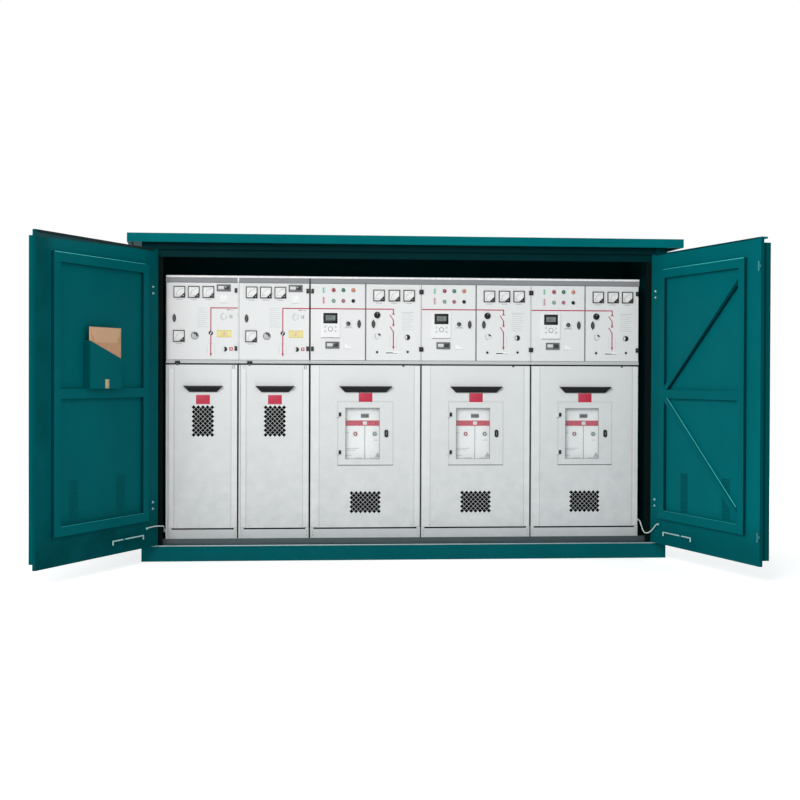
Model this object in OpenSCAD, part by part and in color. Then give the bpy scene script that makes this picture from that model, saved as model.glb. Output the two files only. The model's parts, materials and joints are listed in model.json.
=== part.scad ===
// Outdoor switchgear kiosk: a sheet steel enclosure with two open doors over a row of five panels.
// X runs along the row, Y runs from the doors to the rear wall, Z is up.
// The origin is at ground level in the middle of the base.

/* [Panels] */
// Width of a load switch panel
narrow_w = 500; // [450:5:560]
// Width of a breaker panel
wide_w = 785; // [740:5:840]
// Depth of a panel, from its front to its back
panel_d = 900; // [800:10:1000]
// Thickness of the doors and covers on a panel
face_t = 20; // [16:1:30]
// Half of the gap between two panels
seam = 0.5; // [0.5:0.5:2]
// Height of the kick plate
kick_h = 62; // [50:1:80]
// Gap above and below a lower cover
cover_gap = 11; // [8:1:16]
// Height of a lower cover
cover_h = 1138; // [1100:2:1160]
// Width of the slanted side of a lower cover
bend_w = 48; // [30:1:60]
// How far the side of a cover falls back
bend_d = 9; // [5:1:12]
// Thickness of a cover's sheet
sheet_t = 3; // [2:0.5:4]
// Width of the edge strip beside a narrow cover
edge_w = 13; // [8:1:20]
// Height of the rail between the cover and the instrument door
mid_rail_h = 14; // [10:1:18]
// Height of an instrument door
idoor_h = 534; // [500:2:560]
// Height of the grey header band
band_h = 38; // [30:1:44]
// Height of the plain strip above the header band
crown_h = 9; // [6:1:20]
// Clearance round the doors and covers of a panel
idoor_gap = 4; // [3:0.5:6]

/* [Inspection doors] */
// Width of an inspection door
insp_w = 385; // [340:1:420]
// Height of an inspection door
insp_h = 442; // [400:1:480]
// Distance from the cover's handle down to an inspection door
insp_drop = 68; // [50:1:90]
// Thickness of an inspection door
insp_t = 8; // [6:1:10]
// How far an inspection door stands out of its cover
insp_out = 2; // [0:0.5:4]
// Clearance round an inspection door
insp_gap = 5; // [5:0.5:8]
// Distance from the hinged edge to the window
window_x = 50; // [40:1:60]
// Width of the strip that carries the latch
latch_strip = 91; // [70:1:110]
// Distance from the window to the top and foot of its door
window_rim = 40; // [30:1:60]
// Thickness of the window pane
pane_t = 4; // [3:1:6]
// How far the pane laps behind its door
pane_lap = 10; // [6:1:14]
// Depth of the recess behind an inspection door
recess_d = 60; // [50:1:90]
// Distance from the pane to the breaker's front
breaker_gap = 31; // [27:1:37]
// Height of the breaker's raised band
breaker_band_h = 40; // [30:1:50]
// Distance from the foot of the breaker's front to its band
breaker_band_up = 273; // [250:1:290]
// Distance from the band down to the breaker's buttons
breaker_button_drop = 56; // [40:1:70]
// Distance between the breaker's two buttons
breaker_button_pitch = 136; // [110:2:160]
// Height of the counter window above the band
counter_h = 36; // [24:1:40]

/* [Vents and handles] */
// Pitch of the vent diamonds
vent_pitch = 32; // [28:1:36]
// Width of one vent diamond
vent_hole = 27; // [20:0.5:29]
// Margin of a vent plate round its diamonds
vent_rim = 7.5; // [5:0.5:12]
// Distance from a narrow cover's handle down to its vent
vent_drop = 86; // [70:1:110]
// Where a wide cover's vent sits between the foot and the inspection door, as a share
vent_rest = 0.34; // [0.2:0.01:0.8]
// Width of a narrow cover's handle at its top
handle_narrow_w = 274; // [220:2:300]
// Width of a wide cover's handle at its top
handle_wide_w = 374; // [320:2:420]
// Height of a cover handle
handle_h = 43; // [36:1:52]
// How far a cover handle stands out
handle_out = 34; // [24:1:44]
// Distance from the top of a cover down to its handle
handle_drop = 146; // [120:1:170]

/* [Instruments] */
// Side of a meter
meter_s = 80; // [60:1:90]
// How far a meter stands off its door
meter_t = 11; // [8:1:20]
// Width of a meter's rim
meter_rim = 5; // [3:0.5:8]
// Radius of a signal lamp
lamp_r = 14; // [10:1:18]
// How far a signal lamp stands out
lamp_t = 16; // [10:1:24]
// Radius of a push button
button_r = 11; // [8:1:14]
// How far a push button stands out
button_t = 12; // [8:1:18]
// Width of the collar round a push button
collar_w = 3; // [2:0.5:5]
// Width of a protection relay
relay_w = 132; // [110:1:150]
// Height of a protection relay
relay_h = 180; // [150:1:200]
// How far a protection relay stands out
relay_t = 9; // [6:1:16]
// Width of the relay's screen
screen_w = 100; // [80:1:110]
// Height of the relay's screen
screen_h = 74; // [60:1:84]
// Distance from the relay's top edge down to its screen
screen_drop = 8; // [5:1:14]
// Radius of the relay's round key
key_r = 16; // [12:1:20]
// Radius of the relay's small keys
small_key_r = 5.5; // [4:0.5:8]
// How far the relay's keys stand out
key_t = 3; // [2:0.5:6]
// Distance from the relay's foot up to its round key
key_up = 59; // [50:1:70]
// Distance of the relay's small keys to either side of its round key
small_key_out = 36; // [30:1:48]
// Distance of the relay's small keys above and below the middle of its round key
small_key_rise = 15; // [8:1:24]
// Width of a controller
control_w = 97; // [80:1:110]
// Height of a controller
control_h = 48; // [40:1:56]
// How far a controller stands out
control_t = 8; // [5:1:14]
// Width of a controller's rim
control_rim = 6; // [4:0.5:9]
// Radius of a rotary switch
knob_r = 23; // [18:1:28]
// How far a rotary switch stands out
knob_t = 22; // [14:1:30]
// Thickness of a rotary switch's base
knob_base_t = 4; // [3:0.5:8]
// Width of the bar across a rotary switch
knob_bar_w = 10; // [6:1:14]
// Length of that bar
knob_bar_l = 38; // [28:1:40]
// Width of a latch
latch_w = 25; // [20:1:30]
// Height of a latch
latch_h = 52; // [44:1:60]
// How far a latch stands out
latch_t = 9; // [6:1:14]
// Width of a latch's key slot
latch_slot = 5; // [3:0.5:7]
// Width of a hinge block on an instrument door
block_w = 18; // [12:1:22]
// Height of a hinge block
block_h = 32; // [24:1:44]
// How far a hinge block stands out
block_out = 12; // [8:1:18]

/* [Enclosure] */
// Gap between the row and the door stops
row_gap = 18; // [12:1:40]
// How far a door laps over its stop
stop_lap = 59; // [50:1:70]
// Gap round a door
door_gap = 6; // [5:0.5:10]
// Width of a front post
post_w = 79; // [76:1:140]
// Depth of a front post and of the lintel
post_d = 70; // [60:1:100]
// Thickness of a door stop
stop_t = 4; // [3:0.5:8]
// Thickness of a wall
wall_t = 40; // [30:1:60]
// Depth of the pressed fields in the walls
field_d = 8; // [4:1:14]
// Distance from the edges of a wall to its pressed fields
field_rim = 90; // [60:1:140]
// Distance from the front face back to the panels
setback = 150; // [130:2:200]
// Gap between the panels and the rear wall
rear_gap = 160; // [60:5:300]
// Height of the base
base_h = 110; // [90:2:160]
// Flange width of a base beam
flange_w = 50; // [40:1:70]
// Wall thickness of a base beam
beam_t = 6; // [5:0.5:10]
// Thickness of the floor plates
floor_t = 4; // [3:0.5:5]
// Height of the rails under the panels
rail_h = 33; // [28:1:50]
// Depth of a rail
rail_d = 70; // [50:1:90]
// How far the front rail stands out in front of the panels
rail_front = 10; // [0:1:30]
// Free height from the panels to the door stop
head_room = 119; // [100:1:160]
// How far a door laps over the upper stop
lintel_lap = 46; // [30:1:60]
// Height of the lintel's face
lintel_h = 59; // [50:1:90]
// Roof overhang at the sides
eave_side = 99; // [60:1:140]
// Roof overhang at the front and rear
eave_front = 80; // [60:1:120]
// Height of the roof's edge
fascia_h = 60; // [50:1:90]
// Rise of the roof from its edge to its ridge
roof_rise = 30; // [10:1:50]
// How far the roof's edge hangs below its underside
drip_h = 16; // [8:1:30]
// Thickness of the roof's hanging edge
drip_t = 25; // [10:1:40]

/* [Doors] */
// Thickness of a door leaf
leaf_t = 20; // [16:1:30]
// How far the left door stands open, in degrees
left_open = 113.1; // [0:0.1:120]
// How far the right door stands open, in degrees
right_open = 97.8; // [0:0.1:120]
// Distance of a hinge pin in front of the doors
pin_out = 14; // [13:0.5:20]
// Radius of a hinge knuckle
knuckle_r = 9; // [7:0.5:9]
// Radius of a hinge pin
pin_r = 5; // [3:0.5:6]
// Height of half a hinge
knuckle_h = 58; // [40:1:80]
// Width of a hinge leaf
hinge_leaf_w = 66; // [50:1:70]
// Thickness of a hinge leaf
hinge_leaf_t = 4; // [3:0.5:5]
// Distance of a hinge from the top or foot of a door
hinge_end = 220; // [150:5:300]
// How far the flange on a door's free edge stands out
strip_out = 24; // [16:1:40]
// How far the right door's flange stands out
right_strip_out = 44; // [30:1:50]
// Thickness of that flange
strip_t = 4; // [3:0.5:8]
// How much that flange stops short of the door's ends
strip_short = 36; // [20:1:60]
// Height of the rain lip over a door
lip_h = 12; // [6:1:16]
// Distance from the hinged edge to the rain lip
lip_start = 60; // [40:1:90]
// How far the left door's rain lip stops short of its free edge
lip_short = 78; // [40:1:120]
// Distance from the hinged edge to the stiffening frame
frame_in = 192; // [170:2:210]
// Width of the frame's upright members
stile_w = 86; // [70:1:110]
// Width of the frame's level members
rail_w = 60; // [50:1:80]
// Depth of the frame's members
frame_d = 20; // [19:1:30]
// Distance from the foot of the frame to the top of its middle member
frame_mid = 897; // [840:1:950]
// Distance from the frame to the top of a door
frame_top = 116; // [100:1:140]
// Distance from the frame to the foot of a door
frame_foot = 180; // [160:1:200]
// Distance from the frame to the free edge of a door
frame_free = 198; // [180:1:220]
// Width of the right door's diagonal braces
brace_w = 40; // [30:1:50]
// Depth of the right door's diagonal braces
brace_d = 18; // [12:1:22]
// Width of a louvred vent
louvre_w = 124; // [100:1:150]
// Height of a louvred vent
louvre_h = 280; // [240:2:300]
// Number of slots in a louvred vent
louvre_n = 11; // [7:1:13]
// Height of one louvre slot
louvre_slot = 9; // [6:0.5:12]
// How far a louvre's hood stands out
louvre_out = 12; // [8:1:18]
// Thickness of a louvre's hood
louvre_t = 2; // [1.5:0.5:3]
// How far a louvre's hood reaches below its slot
louvre_lap = 4; // [3:0.5:6]
// Distance from the lowest member of the frame to a louvred vent
louvre_up = 12; // [8:1:30]
// Distance from the frame to the vent at the hinge side
louvre_hinge = 251; // [200:1:280]
// Distance from the frame to the vent at the free side
louvre_free = 146; // [120:1:170]

/* [Door fittings] */
// Width of the document pocket
pocket_w = 454; // [420:2:470]
// Height of the document pocket
pocket_h = 300; // [260:2:340]
// Depth of the document pocket
pocket_d = 50; // [40:1:60]
// How much lower the pocket's front is at the hinge side
pocket_drop = 110; // [60:2:140]
// Thickness of the pocket's sheet
pocket_t = 3; // [2:0.5:4]
// Distance from the hinge side of the frame to the pocket
pocket_in = 397; // [380:1:420]
// Width of the envelope in the pocket
envelope_w = 440; // [360:1:440]
// Height of the envelope
envelope_h = 385; // [340:1:420]
// Thickness of the envelope
envelope_t = 12; // [6:1:20]
// Diameter of a stay rod
stay_d = 9; // [8:0.5:12]
// Length of a stay rod
stay_l = 466; // [440:2:480]
// Length of a stay rod's bent end
stay_hook = 26; // [22:1:34]
// Distance from the hinged edge to a stay rod
stay_s = 257; // [240:1:270]
// Distance from the foot of a door up to its stay rod
stay_up = 88; // [70:1:110]
// Gap between a door and its stay rod
stay_off = 6; // [4:0.5:10]
// Width of the clip that holds a stay rod
clip_w = 18; // [12:1:24]
// Height of that clip
clip_h = 20; // [16:1:26]
// Distance from the free end of a stay rod to its clip
clip_in = 156; // [100:2:200]
// Radius of a shoot bolt
bolt_r = 6; // [5:0.5:8]
// Length of a shoot bolt
bolt_l = 60; // [45:1:80]
// Distance from a shoot bolt to the free edge
bolt_in = 11; // [11:1:30]
// Distance from a shoot bolt to the top or foot of the door
bolt_end = 150; // [100:2:200]
// Gap between a shoot bolt and its door
bolt_off = 4; // [2:0.5:8]
// Length of a pull handle on the outside of a door
pull_l = 220; // [160:5:280]
// Radius of a pull handle's bar
pull_r = 8; // [6:0.5:11]
// How far a pull handle stands out
pull_out = 50; // [40:1:70]
// Distance from a pull handle to the free edge
pull_in = 110; // [80:2:160]
// Height of a pull handle's middle above the foot of its door
pull_up = 980; // [900:5:1100]

/* [Earth leads] */
// Diameter of an earth lead
lead_d = 8; // [6:0.5:10]
// Side of the square lug at the end of a lead
lug_s = 20; // [16:1:26]
// Thickness of a lug
lug_t = 14; // [12:1:20]
// Distance from the hinged edge to the left door's lug
left_lug_in = 204; // [198:1:210]
// Distance from the hinged edge to the right door's lug
right_lug_in = 167; // [162:1:172]
// Height of the left door's lug
left_lug_z = 247; // [240:1:255]
// Height of the right door's lug
right_lug_z = 253; // [245:1:260]
// Height of the left lug on the panels
left_end_z = 200; // [190:1:210]
// Height of the right lug on the panels
right_end_z = 255; // [245:1:265]
// Distance from the front of the panels back to the lugs on them
lug_back = 15; // [10:1:20]

/* [Hidden] */
$fn = 48;
eps = 1;
run_gap = 0.3;
widths = [narrow_w, narrow_w, wide_w, wide_w, wide_w];
edges = [edge_w, edge_w, 0, 0, 0];
narrow_ids = [0, 1];
wide_ids = [2, 3, 4];
all_ids = concat(narrow_ids, wide_ids);
function sum_to(list, n) = n == 0 ? 0 : list[n - 1] + sum_to(list, n - 1);
row_w = sum_to(widths, len(widths));
function panel_x(i) = sum_to(widths, i) - row_w / 2;
function is_wide(i) = i >= wide_ids[0];

// Levels of a panel's front, above its foot
cover_z = kick_h + cover_gap;
cover_top = cover_z + cover_h;
mid_rail_z = cover_top + cover_gap;
idoor_z = mid_rail_z + mid_rail_h + cover_gap;
band_z = idoor_z + idoor_h + idoor_gap;
panel_h = band_z + band_h + crown_h;
handle_z = cover_top - handle_drop;
insp_z = handle_z - handle_h - insp_drop - insp_h;

// Plan of the enclosure
stop_x = row_w / 2 + row_gap;
hinge_x = stop_x + stop_lap;
post_x = hinge_x + door_gap;
body_x = post_x + post_w;
inner_x = body_x - wall_t;
body_d = setback + panel_d + rear_gap + wall_t;
front_y = -body_d / 2;
rear_y = body_d / 2;
face_y = front_y + setback;
rail_y = face_y - rail_front;
pin_x = hinge_x + door_gap / 2;
pin_y = front_y - pin_out;

// Levels of the enclosure
foot_z = base_h + rail_h;
top_z = foot_z + panel_h;
stop_z = top_z + head_room;
door_z0 = base_h + door_gap;
door_z1 = stop_z + lintel_lap;
lintel_z = door_z1 + door_gap;
soffit_z = lintel_z + lintel_h;
eave_z = soffit_z - drip_h;

// Doors
leaf_w = hinge_x - door_gap / 2;
stop_y = front_y + leaf_t + door_gap;
frame_s1 = leaf_w - frame_free;
field_s0 = frame_in + stile_w;
field_s1 = frame_s1 - stile_w;
frame_z0 = door_z0 + frame_foot;
frame_z1 = door_z1 - frame_top;
mid_z1 = frame_z0 + frame_mid;
mid_z0 = mid_z1 - rail_w;
hinge_zs = [door_z0 + hinge_end, door_z1 - hinge_end - 2 * knuckle_h];
louvre_z = frame_z0 + rail_w + louvre_up;
louvre_ss = [field_s0 + louvre_hinge, field_s1 - louvre_free - louvre_w];
louvre_pitch = louvre_h / louvre_n;
pocket_s = field_s0 + pocket_in;
stay_y = leaf_t + stay_off + stay_d / 2;
stay_z = door_z0 + stay_up;
pin_grip = 0.8;

// Small hinges on the inspection doors
small_r = 6;
small_pin = 2.5;
small_h = 18;
small_out = small_r + insp_gap;
small_leaf = 20;
small_leaf_t = 3;
small_end = 70;
small_pin_x = -insp_gap / 2;
small_levels = [insp_z + small_end, insp_z + insp_h - small_end - 2 * small_h];

// Instrument places, as shares across and up an instrument door
narrow_meters = [[0.179, 0.88], [0.38, 0.88], [0.585, 0.88], [0.173, 0.307]];
wide_meters = [[0.23, 0.854], [0.511, 0.854], [0.784, 0.854]];
lamp_us = [0.419, 0.598, 0.78];
lamp_v = 0.92;
button_v = 0.779;
relay_at = [0.362, 0.466];
narrow_control_at = [0.802, 0.936];
wide_control_at = [0.399, 0.198];
narrow_knobs = [[0.396, 0.313], [0.809, 0.562], [0.821, 0.137]];
wide_left_knobs = [[0.689, 0.481]];
wide_right_knobs = [[0.199, 0.596], [0.222, 0.32], [0.758, 0.305]];
narrow_latch_at = [0.108, 0.539];
wide_latch_at = [[0.887, 0.478], [0.129, 0.478]];
block_vs = [0.148, 0.904];

// Helpers
module box(x0, x1, y0, y1, z0, z1) {
    translate([x0, y0, z0]) cube([x1 - x0, y1 - y0, z1 - z0]);
}

// A copy of the children on the other side of the middle plane
module other_side() {
    mirror([1, 0, 0]) children();
}

// Panel frame: x from the panel's left edge, y = 0 at its front and height above its foot
module on_panel(i) {
    translate([panel_x(i), face_y, foot_z]) children();
}

// Door frame: x along the leaf from its hinged edge, y inwards from its outer face, z from the ground
module on_left_door() {
    translate([-pin_x, pin_y, 0]) rotate([0, 0, -left_open])
        translate([pin_x - hinge_x, pin_out, 0]) children();
}

module on_right_door() {
    translate([pin_x, pin_y, 0]) rotate([0, 0, right_open])
        translate([hinge_x - pin_x, pin_out, 0]) mirror([1, 0, 0]) children();
}

// A round piece standing out of a panel's front
module stud(x, z, r, out) {
    translate([x, 0, z]) rotate([90, 0, 0]) cylinder(r = r, h = out);
}

// A plate on a panel's front
module plate(x0, x1, z0, z1, out) {
    box(x0, x1, -out, 0, z0, z1);
}

// A base beam: a channel with closed ends, its web on y = 0 and its flanges towards +y
module channel(length) {
    translate([-length / 2, 0, 0]) difference() {
        cube([length, flange_w, base_h]);
        translate([beam_t, beam_t, beam_t]) cube([length - 2 * beam_t, flange_w, base_h - 2 * beam_t]);
    }
}

// Base
module base_front_beam() {
    color([0.0, 0.33, 0.32]) translate([0, front_y, 0]) channel(2 * body_x);
}

module base_rear_beam() {
    color([0.0, 0.33, 0.32]) translate([0, rear_y, 0]) rotate([0, 0, 180]) channel(2 * body_x);
}

module base_end_beams() {
    color([0.0, 0.33, 0.32]) for (side = [-1, 1])
        translate([side * body_x, 0, 0]) rotate([0, 0, side * 90]) channel(body_d - 2 * flange_w);
}

module base_cross_members() {
    color([0.1, 0.1, 0.1]) for (k = [-1, 0, 1])
        translate([k * body_x / 2 + flange_w / 2, 0, 0]) rotate([0, 0, 90]) channel(body_d - 2 * flange_w);
}

module floor_plates() {
    color([0.35, 0.37, 0.38]) {
        box(-inner_x, inner_x, front_y + post_d, rail_y, base_h, base_h + floor_t);
        box(-inner_x, inner_x, face_y + panel_d, rear_y - wall_t, base_h, base_h + floor_t);
    }
}

// Rails: channels lying on the base with their webs outwards
module rail_section() {
    difference() {
        square([rail_d, rail_h]);
        translate([beam_t, beam_t]) square([rail_d, rail_h - 2 * beam_t]);
    }
}

module panel_rails() {
    color([0.45, 0.46, 0.46]) {
        translate([-inner_x, rail_y, base_h]) rotate([90, 0, 90])
            linear_extrude(2 * inner_x) rail_section();
        translate([inner_x, face_y + panel_d, base_h]) rotate([90, 0, -90])
            linear_extrude(2 * inner_x) rail_section();
    }
}

// Walls with pressed fields on the outside
module side_wall() {
    difference() {
        box(-body_x, -inner_x, front_y + post_d, rear_y - wall_t, base_h, soffit_z);
        box(-body_x - eps, -body_x + field_d, front_y + post_d + field_rim, rear_y - wall_t - field_rim,
            base_h + field_rim, soffit_z - field_rim);
    }
}

module left_wall() {
    color([0.0, 0.36, 0.35]) side_wall();
}

module right_wall() {
    color([0.0, 0.36, 0.35]) other_side() side_wall();
}

module rear_wall() {
    bays = 4;
    bay = 2 * body_x / bays;
    color([0.0, 0.36, 0.35]) difference() {
        box(-body_x, body_x, rear_y - wall_t, rear_y, base_h, soffit_z);
        for (k = [0 : bays - 1])
            box(-body_x + k * bay + field_rim, -body_x + (k + 1) * bay - field_rim,
                rear_y - field_d, rear_y + eps, base_h + field_rim, soffit_z - field_rim);
    }
}

// Front posts with a stop that the doors close against
module post() {
    box(-body_x, -post_x, front_y, front_y + post_d, base_h, soffit_z);
    box(-post_x - eps, -stop_x, stop_y, stop_y + stop_t, base_h, stop_z);
}

module left_post() {
    color([0.0, 0.3, 0.29]) post();
}

module right_post() {
    color([0.0, 0.3, 0.29]) other_side() post();
}

module lintel() {
    color([0.0, 0.2, 0.2]) {
        box(-post_x, post_x, front_y, front_y + post_d, lintel_z, soffit_z);
        box(-post_x, post_x, stop_y, stop_y + stop_t, stop_z, lintel_z + eps);
    }
}

// Roof: a low ridge along X, with an edge that hangs below the soffit
module roof() {
    rx = body_x + eave_side;
    ry = body_d / 2 + eave_front;
    color([0.0, 0.44, 0.42]) difference() {
        translate([-rx, 0, eave_z]) rotate([90, 0, 90]) linear_extrude(2 * rx)
            polygon([[-ry, 0], [ry, 0], [ry, fascia_h], [0, fascia_h + roof_rise], [-ry, fascia_h]]);
        box(-rx + drip_t, rx - drip_t, -ry + drip_t, ry - drip_t, eave_z - eps, soffit_z);
    }
}

// Lift-off hinges: the lower half carries the pin, the upper half turns on it
module hinge_half(r, height, out, leaf, leaf_thick, side) {
    cylinder(r = r, h = height);
    box(min(0, side * 2 * r), max(0, side * 2 * r), 0, out - leaf_thick / 2, 0, height);
    box(min(side * r / 2, side * leaf), max(side * r / 2, side * leaf), out - leaf_thick, out, 0, height);
}

module hinge_lower(r, pin, height, out, leaf, leaf_thick) {
    hinge_half(r, height, out, leaf, leaf_thick, -1);
    cylinder(r = pin, h = (1 + pin_grip) * height);
}

module hinge_upper(r, pin, height, out, leaf, leaf_thick) {
    translate([0, 0, height + run_gap]) difference() {
        hinge_half(r, height - run_gap, out, leaf, leaf_thick, 1);
        translate([0, 0, -eps]) cylinder(r = pin + run_gap, h = height + 2 * eps);
    }
}

module hinge_plates() {
    color([0.0, 0.3, 0.29]) for (z = hinge_zs) {
        translate([-pin_x, pin_y, z])
            hinge_lower(knuckle_r, pin_r, knuckle_h, pin_out, hinge_leaf_w, hinge_leaf_t);
        other_side() translate([-pin_x, pin_y, z])
            hinge_lower(knuckle_r, pin_r, knuckle_h, pin_out, hinge_leaf_w, hinge_leaf_t);
    }
}

// A door's turning hinge halves, in the door frame
module door_hinges() {
    for (z = hinge_zs)
        translate([hinge_x - pin_x, -pin_out, z])
            hinge_upper(knuckle_r, pin_r, knuckle_h, pin_out, hinge_leaf_w, hinge_leaf_t);
}

// Panels: closed housings behind their doors and covers
function insp_x(i) = (widths[i] - insp_w) / 2;

module cabinet(i) {
    w = widths[i];
    color([0.86, 0.87, 0.88]) on_panel(i) difference() {
        union() {
            box(seam, w - seam, face_t, panel_d, 0, panel_h);
            box(seam, w - seam, sheet_t, face_t + eps, band_z, panel_h);
            box(seam, w - seam, 2 * sheet_t, face_t + eps, mid_rail_z, mid_rail_z + mid_rail_h);
            if (!is_wide(i)) box(seam, edges[i], sheet_t, face_t + eps, 0, cover_top);
        }
        if (is_wide(i))
            box(insp_x(i) - insp_gap, insp_x(i) + insp_w + insp_gap, face_t - eps, face_t + recess_d,
                insp_z - insp_gap, insp_z + insp_h + insp_gap);
    }
}

module cabinet_1() { cabinet(0); }
module cabinet_2() { cabinet(1); }
module cabinet_3() { cabinet(2); }
module cabinet_4() { cabinet(3); }
module cabinet_5() { cabinet(4); }

module header_bands() {
    color([0.52, 0.54, 0.56]) for (i = all_ids) on_panel(i)
        box(idoor_gap, widths[i] - idoor_gap, 0, sheet_t, band_z, band_z + band_h);
}

// A folded leaf with chamfered upright edges
module folded_leaf(x0, x1, z0, z1) {
    c = sheet_t;
    translate([0, 0, z0]) linear_extrude(z1 - z0)
        polygon([[x0, face_t], [x0, c], [x0 + c, 0], [x1 - c, 0], [x1, c], [x1, face_t]]);
}

// Edges of an instrument door: half is 0 for the left or only door, and 1 for the right one
function idoor_x(i, half) = half * widths[i] / 2 + idoor_gap;
function idoor_w(i) = widths[i] / (is_wide(i) ? 2 : 1) - 2 * idoor_gap;

module instrument_door(i, half) {
    on_panel(i) folded_leaf(idoor_x(i, half), idoor_x(i, half) + idoor_w(i), idoor_z, idoor_z + idoor_h);
}

module instrument_doors() {
    color([0.9, 0.91, 0.92]) {
        for (i = narrow_ids) instrument_door(i, 0);
        for (i = wide_ids, half = [0, 1]) instrument_door(i, half);
    }
}

// Lower covers: trays of bent sheet with slanted sides
function cover_x0(i) = edges[i] + idoor_gap;
function cover_x1(i) = widths[i] - idoor_gap;
function cover_mid(i) = (cover_x0(i) + cover_x1(i)) / 2;

module cover_plan(x0, x1, t, back) {
    polygon([[x0 + t, back], [x0 + t, bend_d + t], [x0 + bend_w, t], [x1 - bend_w, t], [x1 - t, bend_d + t],
        [x1 - t, back]]);
}

module cover_tray(i) {
    translate([0, 0, cover_z]) difference() {
        linear_extrude(cover_h) cover_plan(cover_x0(i), cover_x1(i), 0, face_t);
        translate([0, 0, sheet_t]) linear_extrude(cover_h - 2 * sheet_t)
            cover_plan(cover_x0(i), cover_x1(i), sheet_t, face_t + eps);
    }
}

// Size and place of a vent field with so many columns and rows of diamonds
function vent_w(count) = (count - 1) * vent_pitch + vent_hole + 2 * vent_rim;
narrow_cols = 5;
narrow_rows = 7;
wide_cols = 7;
wide_rows = 5;
vent_seat = 0.2;
function vent_cols(i) = is_wide(i) ? wide_cols : narrow_cols;
function vent_rows(i) = is_wide(i) ? wide_rows : narrow_rows;
function vent_x(i) = cover_mid(i) - vent_w(vent_cols(i)) / 2;
narrow_vent_z = handle_z - handle_h - vent_drop - vent_w(narrow_rows);
wide_vent_z = cover_z + (insp_z - cover_z - vent_w(wide_rows)) * vent_rest;
function vent_z(i) = is_wide(i) ? wide_vent_z : narrow_vent_z;

module vent_window(i) {
    translate([vent_x(i) - vent_seat, -eps, vent_z(i) - vent_seat])
        cube([vent_w(vent_cols(i)) + 2 * vent_seat, sheet_t + 2 * eps, vent_w(vent_rows(i)) + 2 * vent_seat]);
}

module narrow_covers() {
    color([0.84, 0.85, 0.86]) for (i = narrow_ids) on_panel(i) difference() {
        cover_tray(i);
        vent_window(i);
    }
}

module wide_covers() {
    color([0.84, 0.85, 0.86]) for (i = wide_ids) on_panel(i) difference() {
        cover_tray(i);
        vent_window(i);
        box(insp_x(i) - insp_gap, insp_x(i) + insp_w + insp_gap, -eps, sheet_t + eps,
            insp_z - insp_gap, insp_z + insp_h + insp_gap);
    }
}

// Vent plates: rows of diamonds with a second set between them
module diamond(x, z) {
    translate([x, -eps, z]) rotate([-90, 0, 0]) cylinder(d = vent_hole, h = sheet_t + 2 * eps, $fn = 4);
}

module vent_plate(i) {
    cols = vent_cols(i);
    rows = vent_rows(i);
    first = vent_rim + vent_hole / 2;
    translate([vent_x(i), 0, vent_z(i)]) difference() {
        cube([vent_w(cols), sheet_t, vent_w(rows)]);
        for (c = [0 : cols - 1], r = [0 : rows - 1])
            diamond(first + c * vent_pitch, first + r * vent_pitch);
        for (c = [0 : cols - 2], r = [0 : rows - 2])
            diamond(first + (c + 0.5) * vent_pitch, first + (r + 0.5) * vent_pitch);
    }
}

module vent_grilles() {
    color([0.8, 0.81, 0.82]) for (i = all_ids) on_panel(i) vent_plate(i);
}

// Handles: a lip that is widest and deepest at its top
module cover_handle(i, top) {
    translate([cover_mid(i), 0, handle_z]) intersection() {
        rotate([90, 0, 0]) linear_extrude(handle_out)
            polygon([[-top / 2, 0], [top / 2, 0], [top / 2 - handle_h, -handle_h],
                [handle_h - top / 2, -handle_h]]);
        translate([-top / 2, 0, 0]) rotate([90, 0, 90]) linear_extrude(top)
            polygon([[0, 0], [-handle_out, 0], [-handle_out, -handle_h / 4], [-handle_out / 3, -handle_h],
                [0, -handle_h]]);
    }
}

module cover_handles() {
    color([0.04, 0.04, 0.05]) {
        for (i = narrow_ids) on_panel(i) cover_handle(i, handle_narrow_w);
        for (i = wide_ids) on_panel(i) cover_handle(i, handle_wide_w);
    }
}

module kick_plates() {
    color([0.78, 0.79, 0.8]) for (i = all_ids) on_panel(i)
        box(cover_x0(i), cover_x1(i), sheet_t, face_t, 0, kick_h);
}

// Breaker fronts seen through the inspection windows
breaker_y = insp_t - insp_out + pane_t + breaker_gap;
breaker_groove = 4;

module breaker_front(i) {
    mid = widths[i] / 2;
    x0 = insp_x(i);
    band = insp_z + breaker_band_up;
    half = breaker_button_pitch / 2;
    y0 = breaker_y - eps;
    y1 = breaker_y + breaker_groove;
    counter_z = band + breaker_band_h + counter_h / 3;
    difference() {
        box(x0, x0 + insp_w, breaker_y, face_t + recess_d, insp_z, insp_z + insp_h);
        box(mid - breaker_groove / 2, mid + breaker_groove / 2, y0, y1, insp_z - eps, band);
        box(mid - half, mid + half, y0, y1, counter_z, counter_z + counter_h);
    }
    box(x0, x0 + insp_w, breaker_y - breaker_groove, breaker_y + eps, band, band + breaker_band_h);
    for (s = [-1, 1]) translate([0, breaker_y + eps, 0])
        stud(mid + s * half, band - breaker_button_drop, button_r, button_t);
}

module breaker_fronts() {
    color([0.92, 0.92, 0.92]) for (i = wide_ids) on_panel(i) breaker_front(i);
}

// Instruments, each drawn about its own middle
module on_idoor(i, half, at) {
    on_panel(i) translate([idoor_x(i, half) + at[0] * idoor_w(i), 0, idoor_z + at[1] * idoor_h]) children();
}

// A framed plate with a sunk face
module framed_plate(w, h, out, rim) {
    difference() {
        plate(-w / 2, w / 2, -h / 2, h / 2, out);
        box(rim - w / 2, w / 2 - rim, -out - eps, -out / 2, rim - h / 2, h / 2 - rim);
    }
}

module meter() {
    framed_plate(meter_s, meter_s, meter_t, meter_rim);
}

module meters() {
    color([0.1, 0.1, 0.1]) {
        for (i = narrow_ids, at = narrow_meters) on_idoor(i, 0, at) meter();
        for (i = wide_ids, at = wide_meters) on_idoor(i, 1, at) meter();
    }
}

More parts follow.
